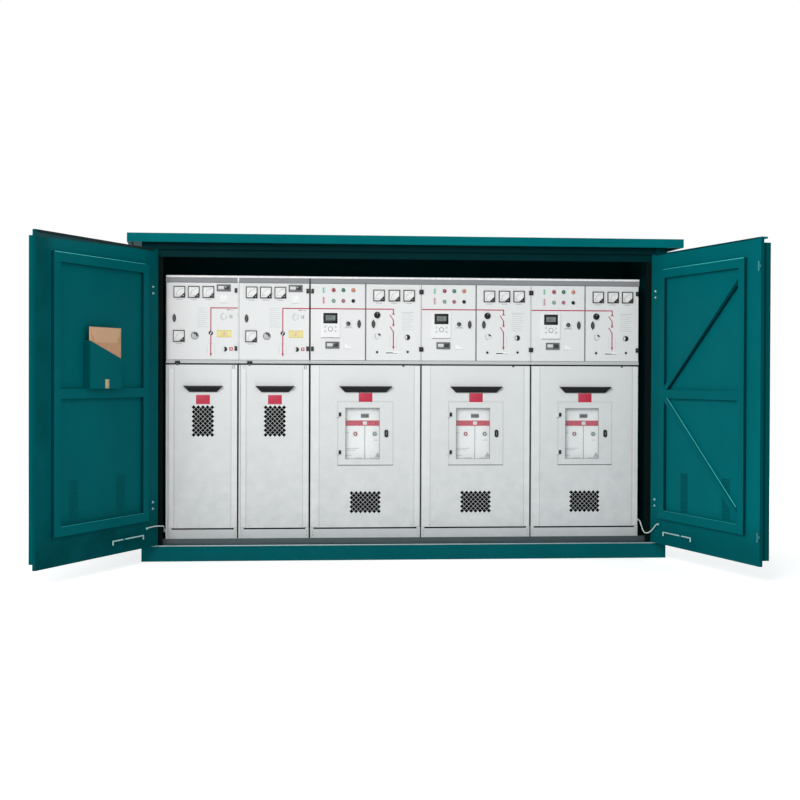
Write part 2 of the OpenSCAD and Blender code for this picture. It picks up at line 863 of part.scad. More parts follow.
module push_button() {
    stud(0, 0, button_r + collar_w, button_t / 3);
    stud(0, 0, button_r, button_t);
}

module lamps_and_buttons() {
    color([0.7, 0.2, 0.15]) for (i = wide_ids, u = lamp_us) {
        on_idoor(i, 0, [u, lamp_v]) stud(0, 0, lamp_r, lamp_t);
        on_idoor(i, 0, [u, button_v]) push_button();
    }
}

module protection_relay() {
    foot = -relay_h / 2;
    top = relay_h / 2;
    difference() {
        plate(-relay_w / 2, relay_w / 2, foot, top, relay_t);
        box(-screen_w / 2, screen_w / 2, -relay_t - eps, -relay_t / 2,
            top - screen_drop - screen_h, top - screen_drop);
    }
    translate([0, -relay_t + eps, 0]) {
        stud(0, foot + key_up, key_r, key_t + eps);
        for (u = [-1, 1], v = [-1, 1])
            stud(u * small_key_out, foot + key_up + v * small_key_rise, small_key_r, key_t + eps);
    }
}

module protection_relays() {
    color([0.85, 0.86, 0.87]) for (i = wide_ids) on_idoor(i, 0, relay_at) protection_relay();
}

module controller() {
    framed_plate(control_w, control_h, control_t, control_rim);
}

module controllers() {
    color([0.3, 0.32, 0.34]) {
        for (i = narrow_ids) on_idoor(i, 0, narrow_control_at) controller();
        for (i = wide_ids) on_idoor(i, 0, wide_control_at) controller();
    }
}

// Rotary switches: a round base with a bar across it
module switch_knob() {
    stud(0, 0, knob_r, knob_base_t);
    plate(-knob_bar_w / 2, knob_bar_w / 2, -knob_bar_l / 2, knob_bar_l / 2, knob_t);
}

module switch_knobs() {
    color([0.15, 0.15, 0.16]) {
        for (i = narrow_ids, at = narrow_knobs) on_idoor(i, 0, at) switch_knob();
        for (i = wide_ids, at = wide_left_knobs) on_idoor(i, 0, at) switch_knob();
        for (i = wide_ids, at = wide_right_knobs) on_idoor(i, 1, at) switch_knob();
    }
}

// Oval latches with a key slot
module latch() {
    r = latch_w / 2;
    difference() {
        rotate([90, 0, 0]) linear_extrude(latch_t) union() {
            for (s = [-1, 1]) translate([0, s * (latch_h / 2 - r)]) circle(r);
            square([latch_w, latch_h - latch_w], center = true);
        }
        box(-latch_slot / 2, latch_slot / 2, -latch_t - eps, -latch_t / 2, -r, r);
    }
}

module panel_latches() {
    color([0.05, 0.05, 0.05]) {
        for (i = narrow_ids) on_idoor(i, 0, narrow_latch_at) latch();
        for (i = wide_ids, half = [0, 1]) on_idoor(i, half, wide_latch_at[half]) latch();
    }
}

// Hinge blocks at the outer edges of the instrument doors
module hinge_block(i, half, v) {
    inset = (idoor_gap + block_w / 2) / idoor_w(i);
    on_idoor(i, half, [half == 0 && is_wide(i) ? inset : 1 - inset, v])
        plate(-block_w / 2, block_w / 2, -block_h / 2, block_h / 2, block_out);
}

module panel_hinges() {
    color([0.05, 0.05, 0.05]) for (v = block_vs) {
        for (i = narrow_ids) hinge_block(i, 0, v);
        for (i = wide_ids, half = [0, 1]) hinge_block(i, half, v);
    }
}

// Inspection doors, hinged at their left edges
module inspection_hinges() {
    color([0.05, 0.05, 0.05]) for (i = wide_ids, z = small_levels) on_panel(i)
        translate([insp_x(i) + small_pin_x, -small_out, z])
            hinge_lower(small_r, small_pin, small_h, small_out, small_leaf, small_leaf_t);
}

window_w = insp_w - window_x - latch_strip;
window_h = insp_h - 2 * window_rim;

module inspection_door(i) {
    color([0.87, 0.88, 0.88]) on_panel(i) translate([insp_x(i), -insp_out, insp_z]) {
        difference() {
            box(0, insp_w, 0, insp_t, 0, insp_h);
            box(window_x, window_x + window_w, -eps, insp_t + eps, window_rim, window_rim + window_h);
        }
        for (z = small_levels) translate([small_pin_x, insp_out - small_out, z - insp_z])
            hinge_upper(small_r, small_pin, small_h, small_out - insp_out, small_leaf, small_leaf_t);
        translate([insp_w - latch_strip / 2, 0, insp_h / 2]) latch();
    }
}

module inspection_pane(i) {
    color([0.7, 0.8, 0.85, 0.4]) on_panel(i) translate([insp_x(i), insp_t - insp_out, insp_z])
        box(window_x - pane_lap, window_x + window_w + pane_lap, 0, pane_t,
            window_rim - pane_lap, window_rim + window_h + pane_lap);
}

module inspection_door_3() { inspection_door(2); }
module inspection_pane_3() { inspection_pane(2); }
module inspection_door_4() { inspection_door(3); }
module inspection_pane_4() { inspection_pane(3); }
module inspection_door_5() { inspection_door(4); }
module inspection_pane_5() { inspection_pane(4); }

// Door leaves with louvred vents, in the door frame
module louvre(s) {
    foot = -louvre_t - louvre_lap;
    for (k = [0 : louvre_n - 1]) translate([s, 0, louvre_z + k * louvre_pitch]) rotate([90, 0, 90])
        difference() {
            linear_extrude(louvre_w) polygon([[eps, louvre_slot], [-louvre_out, foot], [eps, foot]]);
            translate([0, 0, louvre_t]) linear_extrude(louvre_w - 2 * louvre_t)
                polygon([[2 * eps, louvre_slot - louvre_t], [louvre_t - louvre_out, foot - eps],
                    [2 * eps, foot - eps]]);
        }
}

module louvre_slots(s) {
    for (k = [0 : louvre_n - 1])
        translate([s + louvre_t, -eps, louvre_z + k * louvre_pitch - louvre_t])
            cube([louvre_w - 2 * louvre_t, leaf_t + 2 * eps, louvre_slot]);
}

module door_leaf(lip_end) {
    difference() {
        box(0, leaf_w, 0, leaf_t, door_z0, door_z1);
        for (s = louvre_ss) louvre_slots(s);
    }
    for (s = louvre_ss) louvre(s);
    box(lip_start, lip_end, -strip_out, eps, door_z1 - lip_h, door_z1);
}

module left_door_leaf() {
    color([0.0, 0.38, 0.37]) on_left_door() door_leaf(leaf_w - lip_short);
}

module right_door_leaf() {
    color([0.0, 0.41, 0.4]) on_right_door() door_leaf(leaf_w);
}

// Flange that stands out along a leaf's free edge
module door_strip(out) {
    box(leaf_w - strip_t, leaf_w, -out, 0, door_z0 + strip_short, door_z1 - strip_short);
}

module left_door_strip() {
    color([0.0, 0.33, 0.32]) on_left_door() door_strip(strip_out);
}

module right_door_strip() {
    color([0.0, 0.33, 0.32]) on_right_door() door_strip(right_strip_out);
}

module left_door_hinges() {
    color([0.0, 0.33, 0.32]) on_left_door() door_hinges();
}

module right_door_hinges() {
    color([0.0, 0.33, 0.32]) on_right_door() door_hinges();
}

// Stiffening frame on the inside of a leaf
module stiffener() {
    y0 = leaf_t;
    y1 = leaf_t + frame_d;
    box(frame_in, field_s0, y0, y1, frame_z0, frame_z1);
    box(field_s1, frame_s1, y0, y1, frame_z0, frame_z1);
    for (z = [frame_z0, mid_z0, frame_z1 - rail_w])
        box(field_s0 + run_gap, field_s1 - run_gap, y0, y1, z, z + rail_w);
}

module left_door_frame() {
    color([0.0, 0.36, 0.35]) on_left_door() stiffener();
}

// A brace between two corners of a frame field
module brace(s0, z0, s1, z1) {
    run = norm([s1 - s0, z1 - z0]);
    tilt = atan2(z1 - z0, s1 - s0);
    translate([s0, leaf_t, z0]) rotate([0, -tilt, 0])
        translate([-brace_w, 0, -brace_w / 2]) cube([run + 2 * brace_w, brace_d, brace_w]);
}

// The space inside one field of the frame
module field(z0, z1) {
    box(field_s0 + run_gap, field_s1 - run_gap, leaf_t, leaf_t + frame_d, z0 + run_gap, z1 - run_gap);
}

module right_door_frame() {
    top = frame_z1 - rail_w;
    foot = frame_z0 + rail_w;
    color([0.0, 0.4, 0.39]) on_right_door() {
        stiffener();
        intersection() {
            brace(field_s0, mid_z1, field_s1, top - brace_w);
            field(mid_z1, top);
        }
        intersection() {
            brace(field_s0, mid_z0, field_s1, foot + brace_w);
            field(foot, mid_z0);
        }
    }
}

// Document pocket on the middle rail of the left door, open at its top
module document_pocket() {
    s0 = pocket_s;
    s1 = pocket_s + pocket_w;
    z1 = mid_z1 + pocket_h;
    color([0.0, 0.38, 0.37]) on_left_door() difference() {
        box(s0, s1, leaf_t, leaf_t + pocket_d, mid_z1, z1);
        box(s0 + pocket_t, s1 - pocket_t, leaf_t + pocket_t, leaf_t + pocket_d - pocket_t,
            mid_z1 + pocket_t, z1 + eps);
        translate([0, leaf_t + pocket_t, 0]) rotate([-90, 0, 0]) linear_extrude(pocket_d)
            polygon([[s0 - eps, -z1 - eps], [s1, -z1], [s0 - eps, -z1 + pocket_drop]]);
    }
}

module envelope() {
    y1 = leaf_t + pocket_d - pocket_t - run_gap;
    s0 = pocket_s + pocket_t + eps;
    z0 = mid_z1 + pocket_t;
    color([0.8, 0.64, 0.43]) on_left_door() box(s0, s0 + envelope_w, y1 - envelope_t, y1, z0, z0 + envelope_h);
}

// Stay rods, clipped along the foot of each leaf, with both ends bent down
module stay_rod() {
    r = stay_d / 2;
    translate([stay_s, stay_y, stay_z]) rotate([0, 90, 0]) cylinder(r = r, h = stay_l);
    for (s = [stay_s, stay_s + stay_l]) {
        translate([s, stay_y, stay_z - stay_hook]) cylinder(r = r, h = stay_hook);
        translate([s, stay_y, stay_z]) sphere(r = r);
    }
}

module stay_clip() {
    s = stay_s + stay_l - clip_in;
    difference() {
        box(s - clip_w / 2, s + clip_w / 2, leaf_t, stay_y + stay_d, stay_z - clip_h / 2, stay_z + clip_h / 2);
        translate([s - clip_w, stay_y, stay_z]) rotate([0, 90, 0])
            cylinder(r = stay_d / 2 + run_gap, h = 2 * clip_w);
    }
}

// Pull handle on the outside of a leaf: a bar on two legs with round corners
module pull_handle() {
    half = pull_l / 2 - pull_r;
    bar_y = pull_r - pull_out;
    translate([leaf_w - pull_in, 0, door_z0 + pull_up]) {
        translate([0, bar_y, -half]) cylinder(r = pull_r, h = 2 * half);
        for (z = [-half, half]) translate([0, bar_y, z]) {
            sphere(r = pull_r);
            rotate([-90, 0, 0]) cylinder(r = pull_r, h = -bar_y);
        }
    }
}

// A square lug on the inside of a leaf, that an earth lead ends in
module door_lug(s, z) {
    box(s, s + lug_s, leaf_t, leaf_t + lug_t, z - lug_s / 2, z + lug_s / 2);
}

module left_stay_rod() {
    color([0.8, 0.82, 0.83]) on_left_door() stay_rod();
}

module left_door_fittings() {
    color([0.0, 0.36, 0.35]) on_left_door() {
        stay_clip();
        pull_handle();
        door_lug(left_lug_in, left_lug_z);
    }
}

module right_stay_rod() {
    color([0.8, 0.82, 0.83]) on_right_door() stay_rod();
}

module right_door_fittings() {
    color([0.0, 0.4, 0.39]) on_right_door() {
        stay_clip();
        pull_handle();
        door_lug(right_lug_in, right_lug_z);
    }
}

// Shoot bolts at the free edge of the right door, each in a guide
module shoot_bolts() {
    guide = 3 * bolt_r;
    y = leaf_t + bolt_r + bolt_off;
    s = leaf_w - bolt_in;
    color([0.5, 0.6, 0.6]) on_right_door() for (z = [door_z0 + bolt_end, door_z1 - bolt_end - bolt_l]) {
        translate([s, y, z]) cylinder(r = bolt_r, h = bolt_l);
        box(s - guide / 2, s + guide / 2, leaf_t, y + bolt_r / 2, z + bolt_l / 3, z + 2 * bolt_l / 3);
    }
}

// Lugs on the outer sides of the row, where the earth leads end
lug_y = face_y + lug_back;
side_x = row_w / 2 - seam;

module earth_studs() {
    color([0.75, 0.76, 0.76]) {
        box(-side_x - lug_t, -side_x, lug_y, lug_y + lug_s, left_end_z - lug_s / 2, left_end_z + lug_s / 2);
        box(side_x, side_x + lug_t, lug_y, lug_y + lug_s, right_end_z - lug_s / 2, right_end_z + lug_s / 2);
    }
}

// Earth leads: routes as seen from the hinge pin, inwards, back and up, from a door's lug to the panels' lug
lead_straight = 20;
lead_gap = 0.02;
lead_y = leaf_t + lug_t / 2;
function from_pin(s, open) = [(s + pin_x - hinge_x) * cos(open) + (lead_y + pin_out) * sin(open),
    (lead_y + pin_out) * cos(open) - (s + pin_x - hinge_x) * sin(open)];
function lead_start(s, open, z) = [for (d = [lead_gap, lead_straight]) [each from_pin(s - d, open), z]];
function lead_end(z) = [for (d = [lead_straight, lead_gap])
    [pin_x - side_x - lug_t / 2, lug_y - pin_y - d, z]];
left_bends = [[-27, -170, 249], [-17, -150, 250], [-6, -131, 251], [6, -110, 252], [18, -90, 252],
    [30, -69, 251], [42, -49, 250], [52, -29, 248], [61, -9, 246], [67, 10, 243], [70, 29, 240],
    [70, 48, 236], [70, 67, 231], [70, 86, 225], [70, 105, 219], [71, 123, 212], [72, 141, 205]];
right_bends = [[23, -136, 247], [28, -119, 236], [33, -103, 223], [39, -87, 210], [45, -69, 198],
    [52, -51, 188], [58, -31, 181], [64, -11, 178], [68, 10, 178], [70, 31, 182], [71, 51, 190],
    [72, 70, 201], [72, 88, 214], [73, 105, 227], [73, 122, 240], [73, 140, 250]];
left_route = concat(lead_start(left_lug_in, left_open, left_lug_z), left_bends, lead_end(left_end_z));
right_route = concat(lead_start(right_lug_in, right_open, right_lug_z), right_bends, lead_end(right_end_z));

// A tube along a route: a ring of points at each bend, and walls between the rings
tube_sides = 10;
function heading(route, i) = route[min(i + 1, len(route) - 1)] - route[max(i - 1, 0)];
function unit(v) = v / norm(v);
function ring(route, i) = let (t = unit(heading(route, i)), u = unit(cross(t, [0, 0, 1])), v = cross(u, t))
    [for (k = [0 : tube_sides - 1]) let (a = 360 * k / tube_sides)
        route[i] + lead_d / 2 * (cos(a) * u + sin(a) * v)];

module tube(route) {
    last = len(route) - 1;
    walls = [for (i = [0 : last - 1], k = [0 : tube_sides - 1]) let (m = (k + 1) % tube_sides)
        [i * tube_sides + k, i * tube_sides + m, (i + 1) * tube_sides + m, (i + 1) * tube_sides + k]];
    near = [for (k = [tube_sides - 1 : -1 : 0]) k];
    far = [for (k = [0 : tube_sides - 1]) last * tube_sides + k];
    polyhedron([for (i = [0 : last]) each ring(route, i)], concat([near], walls, [far]));
}

module left_earth_lead() {
    color([0.62, 0.68, 0.66]) translate([-pin_x, pin_y, 0]) tube(left_route);
}

module right_earth_lead() {
    color([0.62, 0.68, 0.66]) other_side() translate([-pin_x, pin_y, 0]) tube(right_route);
}

base_front_beam();
base_rear_beam();
base_end_beams();
base_cross_members();
floor_plates();
panel_rails();
left_wall();
right_wall();
rear_wall();
left_post();
right_post();
lintel();
roof();
hinge_plates();
cabinet_1();
cabinet_2();
cabinet_3();
cabinet_4();
cabinet_5();
header_bands();
instrument_doors();
narrow_covers();
wide_covers();
vent_grilles();
cover_handles();
kick_plates();
breaker_fronts();
meters();
lamps_and_buttons();
protection_relays();
controllers();
switch_knobs();
panel_latches();
panel_hinges();
inspection_hinges();
earth_studs();
inspection_door_3();
inspection_pane_3();
inspection_door_4();
inspection_pane_4();
inspection_door_5();
inspection_pane_5();
left_door_leaf();
left_door_frame();
left_door_hinges();
left_door_strip();
document_pocket();
envelope();
left_stay_rod();
left_door_fittings();
right_door_leaf();
right_door_frame();
right_door_hinges();
right_door_strip();
right_stay_rod();
right_door_fittings();
shoot_bolts();
left_earth_lead();
right_earth_lead();
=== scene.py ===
import json
import math

import bmesh
import bpy
from mathutils import Matrix, Vector


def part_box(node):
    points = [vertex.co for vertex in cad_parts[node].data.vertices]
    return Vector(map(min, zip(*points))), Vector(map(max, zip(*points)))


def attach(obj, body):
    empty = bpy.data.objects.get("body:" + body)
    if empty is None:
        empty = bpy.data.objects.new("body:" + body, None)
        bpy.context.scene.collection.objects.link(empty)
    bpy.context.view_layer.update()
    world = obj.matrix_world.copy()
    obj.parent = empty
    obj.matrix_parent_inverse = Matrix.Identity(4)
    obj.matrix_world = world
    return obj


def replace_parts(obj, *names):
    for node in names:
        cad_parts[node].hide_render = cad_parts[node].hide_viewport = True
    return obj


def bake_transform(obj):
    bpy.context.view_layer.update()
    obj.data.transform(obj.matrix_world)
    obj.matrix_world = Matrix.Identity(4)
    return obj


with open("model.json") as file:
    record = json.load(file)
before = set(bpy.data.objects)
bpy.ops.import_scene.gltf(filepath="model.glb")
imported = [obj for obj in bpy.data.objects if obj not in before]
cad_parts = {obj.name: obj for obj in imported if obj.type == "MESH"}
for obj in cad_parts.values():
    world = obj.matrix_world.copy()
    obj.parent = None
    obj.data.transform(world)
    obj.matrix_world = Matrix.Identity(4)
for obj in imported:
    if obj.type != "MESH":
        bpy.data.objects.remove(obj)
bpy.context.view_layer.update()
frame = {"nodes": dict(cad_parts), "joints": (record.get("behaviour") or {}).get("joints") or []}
nodes = frame["nodes"]
joints = {joint["name"]: joint for joint in frame["joints"]}
mm = 0.001
print("frame loaded,", len(nodes), "nodes")

# Camera, fitted to the photo

view = {"place": (-1.48325, -13.10638, 1.26987), "yaw": 6.514, "pitch": 0.714, "roll": 0.201, "lens": 81.208,
        "sensor": 36, "far": 200}


def addCamera():
    data = bpy.data.cameras.new("camera")
    data.lens = view["lens"]
    data.sensor_width = view["sensor"]
    data.clip_end = view["far"]
    yaw, pitch, roll = (math.radians(view[key]) for key in ("yaw", "pitch", "roll"))
    tilt = Matrix.Rotation(math.pi / 2 - pitch, 4, "X") @ Matrix.Rotation(roll, 4, "Z")
    camera = bpy.data.objects.new("camera", data)
    camera.matrix_world = Matrix.Translation(view["place"]) @ Matrix.Rotation(-yaw, 4, "Z") @ tilt
    bpy.context.scene.collection.objects.link(camera)
    bpy.context.scene.camera = camera


addCamera()

# Faces to work on: u to the right, v up and the third axis out of the face, all in millimetres

outward = Matrix.Rotation(math.pi / 2, 4, "X") @ Matrix.Scale(mm, 4)
cabinets = [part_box(f"cabinet_{k + 1}") for k in range(5)]
narrowPanels, widePanels = (0, 1), (2, 3, 4)
allPanels = narrowPanels + widePanels
doorsLow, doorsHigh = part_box("instrument_doors")
face = {"seam": 0.5, "gap": 4, "y": doorsLow.y, "foot": cabinets[0][0].z}
face["doorFoot"] = (doorsLow.z - face["foot"]) / mm
face["doorHeight"] = (doorsHigh.z - doorsLow.z) / mm
coverEdge = {"narrow": 17, "wide": 4, "right": 4}
leafFit = {"pinGap": 3, "pinOut": 14, "thick": 20, "innerFace": (8, 14)}


def kind(k):
    return "narrow" if k in narrowPanels else "wide"


def panelWidth(k):
    return (cabinets[k][1].x - cabinets[k][0].x) / mm + 2 * face["seam"]


def panelHeight(z):  # from metres above the ground to millimetres above the panels' foot
    return (z - face["foot"]) / mm


def coverSides(k):
    return coverEdge[kind(k)], panelWidth(k) - coverEdge["right"]


def coverMiddle(k):
    return sum(coverSides(k)) / 2


def at(place, u, v, out=0):
    return place @ Matrix.Translation((u, v, out))


def onPanel(k):
    left = cabinets[k][0].x - face["seam"] * mm
    return Matrix.Translation((left, face["y"], face["foot"])) @ outward


def doorSpot(k, half, share):  # half is 1 on the right instrument door of a wide panel
    width = panelWidth(k) / (2 if k in widePanels else 1)
    u = half * width + face["gap"] + share[0] * (width - 2 * face["gap"])
    return u, face["doorFoot"] + share[1] * face["doorHeight"]


def onDoor(k, half, share):
    return at(onPanel(k), *doorSpot(k, half, share))


def onLeaf(jointName, side):
    joint = joints[jointName]
    opened = math.radians(-joint["range_deg"][0])
    along = Vector((side * math.cos(opened), -math.sin(opened), 0))
    inward = Vector((side * math.sin(opened), math.cos(opened), 0))
    foot = Vector((joint["pos_m"][0], joint["pos_m"][1], 0))
    foot = foot + along * leafFit["pinGap"] * mm + inward * leafFit["pinOut"] * mm
    columns = [along, Vector((0, 0, 1)), inward]
    rows = [[*(c[r] for c in columns), foot[r]] for r in range(3)]
    return Matrix(rows + [[0, 0, 0, 1]]) @ Matrix.Scale(mm, 4)


leftLeaf = onLeaf("left_door_hinge", 1)
rightLeaf = onLeaf("right_door_hinge", -1)

# Shapes in millimetres on such a face

sharpEdge = 32  # degrees


def block(u0, u1, v0, v1, o0, o1, bevel=0, steps=2):
    part = bmesh.new()
    middle = ((u0 + u1) / 2, (v0 + v1) / 2, (o0 + o1) / 2)
    size = Matrix.Diagonal((u1 - u0, v1 - v0, o1 - o0, 1))
    bmesh.ops.create_cube(part, size=1, matrix=Matrix.Translation(middle) @ size)
    if bevel:
        bmesh.ops.bevel(part, geom=part.edges[:], offset=bevel, offset_type="OFFSET", segments=steps,
                        profile=0.5, affect="EDGES", material=-1)
    return part


def slab(u, v, wide, high, o0, o1, bevel=0):  # a block about its middle
    return block(u - wide / 2, u + wide / 2, v - high / 2, v + high / 2, o0, o1, bevel)


def turned(profile, sides=28, closed=False):  # profile points are radius and height out of the face
    part = bmesh.new()
    verts = [part.verts.new((r, 0, o)) for r, o in profile]
    pairs = list(zip(verts, verts[1:])) + ([(verts[-1], verts[0])] if closed else [])
    edges = [part.edges.new(pair) for pair in pairs]
    bmesh.ops.spin(part, geom=verts + edges, cent=(0, 0, 0), axis=(0, 0, 1), dvec=(0, 0, 0),
                   angle=2 * math.pi, steps=sides, use_merge=True)
    bmesh.ops.remove_doubles(part, verts=part.verts[:], dist=0.001)
    bmesh.ops.recalc_face_normals(part, faces=part.faces[:])
    return part


def disc(radius, o0, o1, sides=28):
    return turned([(0, o0), (radius, o0), (radius, o1), (0, o1)], sides)


def ring(inner, outer, o0, o1, edge, sides=28):
    side = o1 - edge
    profile = [(inner, o0), (outer, o0), (outer, side), (outer - edge, o1), (inner + edge, o1), (inner, side)]
    return turned(profile, sides, closed=True)


def strip(start, end, width, o0, o1):
    run = Vector(end) - Vector(start)
    part = block(0, run.length, -width / 2, width / 2, o0, o1)
    turn = Matrix.Rotation(math.atan2(run.y, run.x), 4, "Z")
    part.transform(Matrix.Translation((start[0], start[1], 0)) @ turn)
    return part


def spoke(degrees, inner, outer):  # both ends of a mark that points to the middle of a circle
    turn = math.radians(degrees)
    return [(r * math.cos(turn), r * math.sin(turn)) for r in (inner, outer)]


def arc(radius, start, end, width, o0, o1, steps=14):  # angles in degrees, from the right
    part = bmesh.new()
    inner, outer = radius - width / 2, radius + width / 2
    corners = [(inner, o0), (outer, o0), (outer, o1), (inner, o1)]
    part.faces.new([part.verts.new((r, 0, o)) for r, o in corners])
    part.transform(Matrix.Rotation(math.radians(start), 4, "Z"))
    bmesh.ops.spin(part, geom=part.verts[:] + part.edges[:] + part.faces[:], cent=(0, 0, 0), axis=(0, 0, 1),
                   dvec=(0, 0, 0), angle=math.radians(end - start), steps=steps)
    bmesh.ops.recalc_face_normals(part, faces=part.faces[:])
    return part


def prism(points, o0, o1):
    part = bmesh.new()
    flat = part.faces.new([part.verts.new((u, v, o0)) for u, v in points])
    grown = bmesh.ops.extrude_face_region(part, geom=[flat])
    raised = [item for item in grown["geom"] if isinstance(item, bmesh.types.BMVert)]
    bmesh.ops.translate(part, vec=(0, 0, o1 - o0), verts=raised)
    bmesh.ops.recalc_face_normals(part, faces=part.faces[:])
    return part


def oval(wide, high, o0, o1):
    part = slab(0, 0, wide, high, o0, o1)
    upright = [edge for edge in part.edges if abs(edge.verts[0].co.z - edge.verts[1].co.z) > (o1 - o0) / 2]
    bmesh.ops.bevel(part, geom=upright, offset=wide * 0.498, offset_type="OFFSET", segments=8, profile=0.5,
                    affect="EDGES", material=-1)  # just under half the width
    return part


def join(mesh, part, place, finish=0):
    for polygon in part.faces:
        polygon.material_index = finish
    part.transform(place)
    if place.determinant() < 0:
        bmesh.ops.reverse_faces(part, faces=part.faces[:])
    loose = bpy.data.meshes.new("part")
    part.to_mesh(loose)
    part.free()
    mesh.from_mesh(loose)
    bpy.data.meshes.remove(loose)


def makePiece(name, mesh, finishes, body="kiosk"):
    data = bpy.data.meshes.new(name)
    for polygon in mesh.faces:
        polygon.smooth = True
    mesh.to_mesh(data)
    mesh.free()
    data.set_sharp_from_angle(angle=math.radians(sharpEdge))
    for finish in finishes:
        data.materials.append(finish)
    made = bpy.data.objects.new(name, data)
    bpy.context.scene.collection.objects.link(made)
    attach(made, body)
    return made


# Finishes


def newFinish(name):
    finish = bpy.data.materials.new(name)
    finish.use_nodes = True
    return finish, finish.node_tree, finish.node_tree.nodes["Principled BSDF"]


def feed(tree, socket, value):  # a link from another node, or a plain value
    if isinstance(value, bpy.types.NodeSocket):
        tree.links.new(value, socket)
    else:
        socket.default_value = value


def fill(tree, shader, values):
    for key, value in values.items():
        feed(tree, shader.inputs[key], value)


def objectCoords(tree, stretch=(1, 1, 1)):
    coords = tree.nodes.new("ShaderNodeTexCoord")
    mapping = tree.nodes.new("ShaderNodeMapping")
    mapping.inputs["Scale"].default_value = stretch
    tree.links.new(coords.outputs["Object"], mapping.inputs["Vector"])
    return mapping.outputs["Vector"]


def noise(tree, scale, detail=3, stretch=(1, 1, 1), rough=0.55):
    texture = tree.nodes.new("ShaderNodeTexNoise")
    fill(tree, texture, {"Scale": scale, "Detail": detail, "Roughness": rough,
                         "Vector": objectCoords(tree, stretch)})
    return texture.outputs["Fac"]


def cells(tree, scale):
    texture = tree.nodes.new("ShaderNodeTexVoronoi")
    fill(tree, texture, {"Scale": scale, "Vector": objectCoords(tree)})
    return texture.outputs["Distance"]


def spread(tree, value, low, high, fromLow=0.3, fromHigh=0.7):
    ranged = tree.nodes.new("ShaderNodeMapRange")
    fill(tree, ranged, {"From Min": fromLow, "From Max": fromHigh, "To Min": low, "To Max": high,
                        "Value": value})
    return ranged.outputs["Result"]


def blendColours(tree, amount, first, second):
    mix = tree.nodes.new("ShaderNodeMix")
    mix.data_type = "RGBA"
    tree.links.new(amount, mix.inputs[0])
    for socket, colour in ((mix.inputs[6], first), (mix.inputs[7], second)):
        feed(tree, socket, (*colour, 1) if isinstance(colour, tuple) else colour)
    return mix.outputs[2]


def axisValue(tree, axis):
    parts = tree.nodes.new("ShaderNodeSeparateXYZ")
    tree.links.new(objectCoords(tree), parts.inputs["Vector"])
    return parts.outputs[axis]


def calculated(tree, operation, first, second=0.0):
    node = tree.nodes.new("ShaderNodeMath")
    node.operation = operation
    for socket, value in zip(node.inputs, (first, second)):
        feed(tree, socket, value)
    return node.outputs[0]


def leafOut(tree, leaf):  # millimetres inward from the outer face of a door leaf
    row = leaf.inverted()[2]
    across = calculated(tree, "MULTIPLY", axisValue(tree, "X"), row[0])
    along = calculated(tree, "MULTIPLY", axisValue(tree, "Y"), row[1])
    return calculated(tree, "ADD", calculated(tree, "ADD", across, along), row[3])


def roughen(tree, shader, height, depth):
    bump = tree.nodes.new("ShaderNodeBump")
    fill(tree, bump, {"Strength": 1.0, "Distance": depth, "Height": height})
    tree.links.new(bump.outputs["Normal"], shader.inputs["Normal"])


def toLinear(*colour):  # colours are written as they look on a screen, 0 to 255
    return tuple(c / 255 / 12.92 if c < 10.3 else ((c / 255 + 0.055) / 1.055) ** 2.4 for c in colour)


def darker(colour, share):
    return tuple(c * share for c in colour)


def mottled(tree, colour, share, scale, detail, stretch=(1, 1, 1)):  # a colour in soft patches
    base = toLinear(*colour)
    patches = spread(tree, noise(tree, scale, detail, stretch), 0, 1)
    return blendColours(tree, patches, darker(base, share), base)


def sprayPaint(name, colour, shade=0.86, rough=(0.38, 0.5), gloss=0.25, peel=900, cloud=2.2, footSpeckle=None,
               doorwayShade=None, paintedShades=(), leaf=None):
    # Slow clouds of shade and a fine skin; where given, speckles towards the foot (dust on the teal and the
    # kick plates, a darkening on the covers), painted shade inside the doorway and mottled bands of painted
    # shade along an axis
    finish, tree, shader = newFinish(name)
    base = toLinear(*colour)
    mixed = mottled(tree, colour, shade, cloud, 4)
    if footSpeckle:
        reach = spread(tree, axisValue(tree, "Z"), footSpeckle["amount"], 0, footSpeckle["low"], footSpeckle["high"])
        speckled = calculated(tree, "MULTIPLY", reach, noise(tree, 14, 5))
        mixed = blendColours(tree, speckled, mixed, toLinear(*footSpeckle["colour"]))
    # painted shade: the posts' stop strips inside the doorway take a dark colour
    if doorwayShade:
        aside = calculated(tree, "ABSOLUTE", axisValue(tree, "X"))
        outer = spread(tree, aside, 0, 1, doorwayShade["from"], doorwayShade["to"])
        mixed = blendColours(tree, outer, toLinear(*doorwayShade["colour"]), mixed)
    # bands of painted shade: the colour darkens along an axis, in mottled patches
    for shadeBand in paintedShades:
        shadeReach = spread(tree, axisValue(tree, shadeBand["axis"]), 1, 0, shadeBand["from"], shadeBand["to"])
        if leaf:  # on the inner face alone
            inner = spread(tree, leafOut(tree, leaf), 0, 1, *leafFit["innerFace"])
            shadeReach = calculated(tree, "MULTIPLY", shadeReach, inner)
        mottledShade = blendColours(tree, noise(tree, 3, 4), mixed, darker(base, shadeBand["keep"]))
        mixed = blendColours(tree, shadeReach, mixed, mottledShade)
    fill(tree, shader, {"Base Color": mixed, "Roughness": spread(tree, noise(tree, 9, 3), *rough),
                        "Specular IOR Level": gloss})
    roughen(tree, shader, noise(tree, peel, 2), 0.00006)
    return finish


def mouldedPlastic(name, colour, rough=(0.35, 0.5), gloss=0.4):
    finish, tree, shader = newFinish(name)
    fill(tree, shader, {"Base Color": mottled(tree, colour, 0.8, 60, 3), "Specular IOR Level": gloss,
                        "Roughness": spread(tree, noise(tree, 240, 2), *rough)})
    roughen(tree, shader, noise(tree, 1600, 2), 0.00004)
    return finish


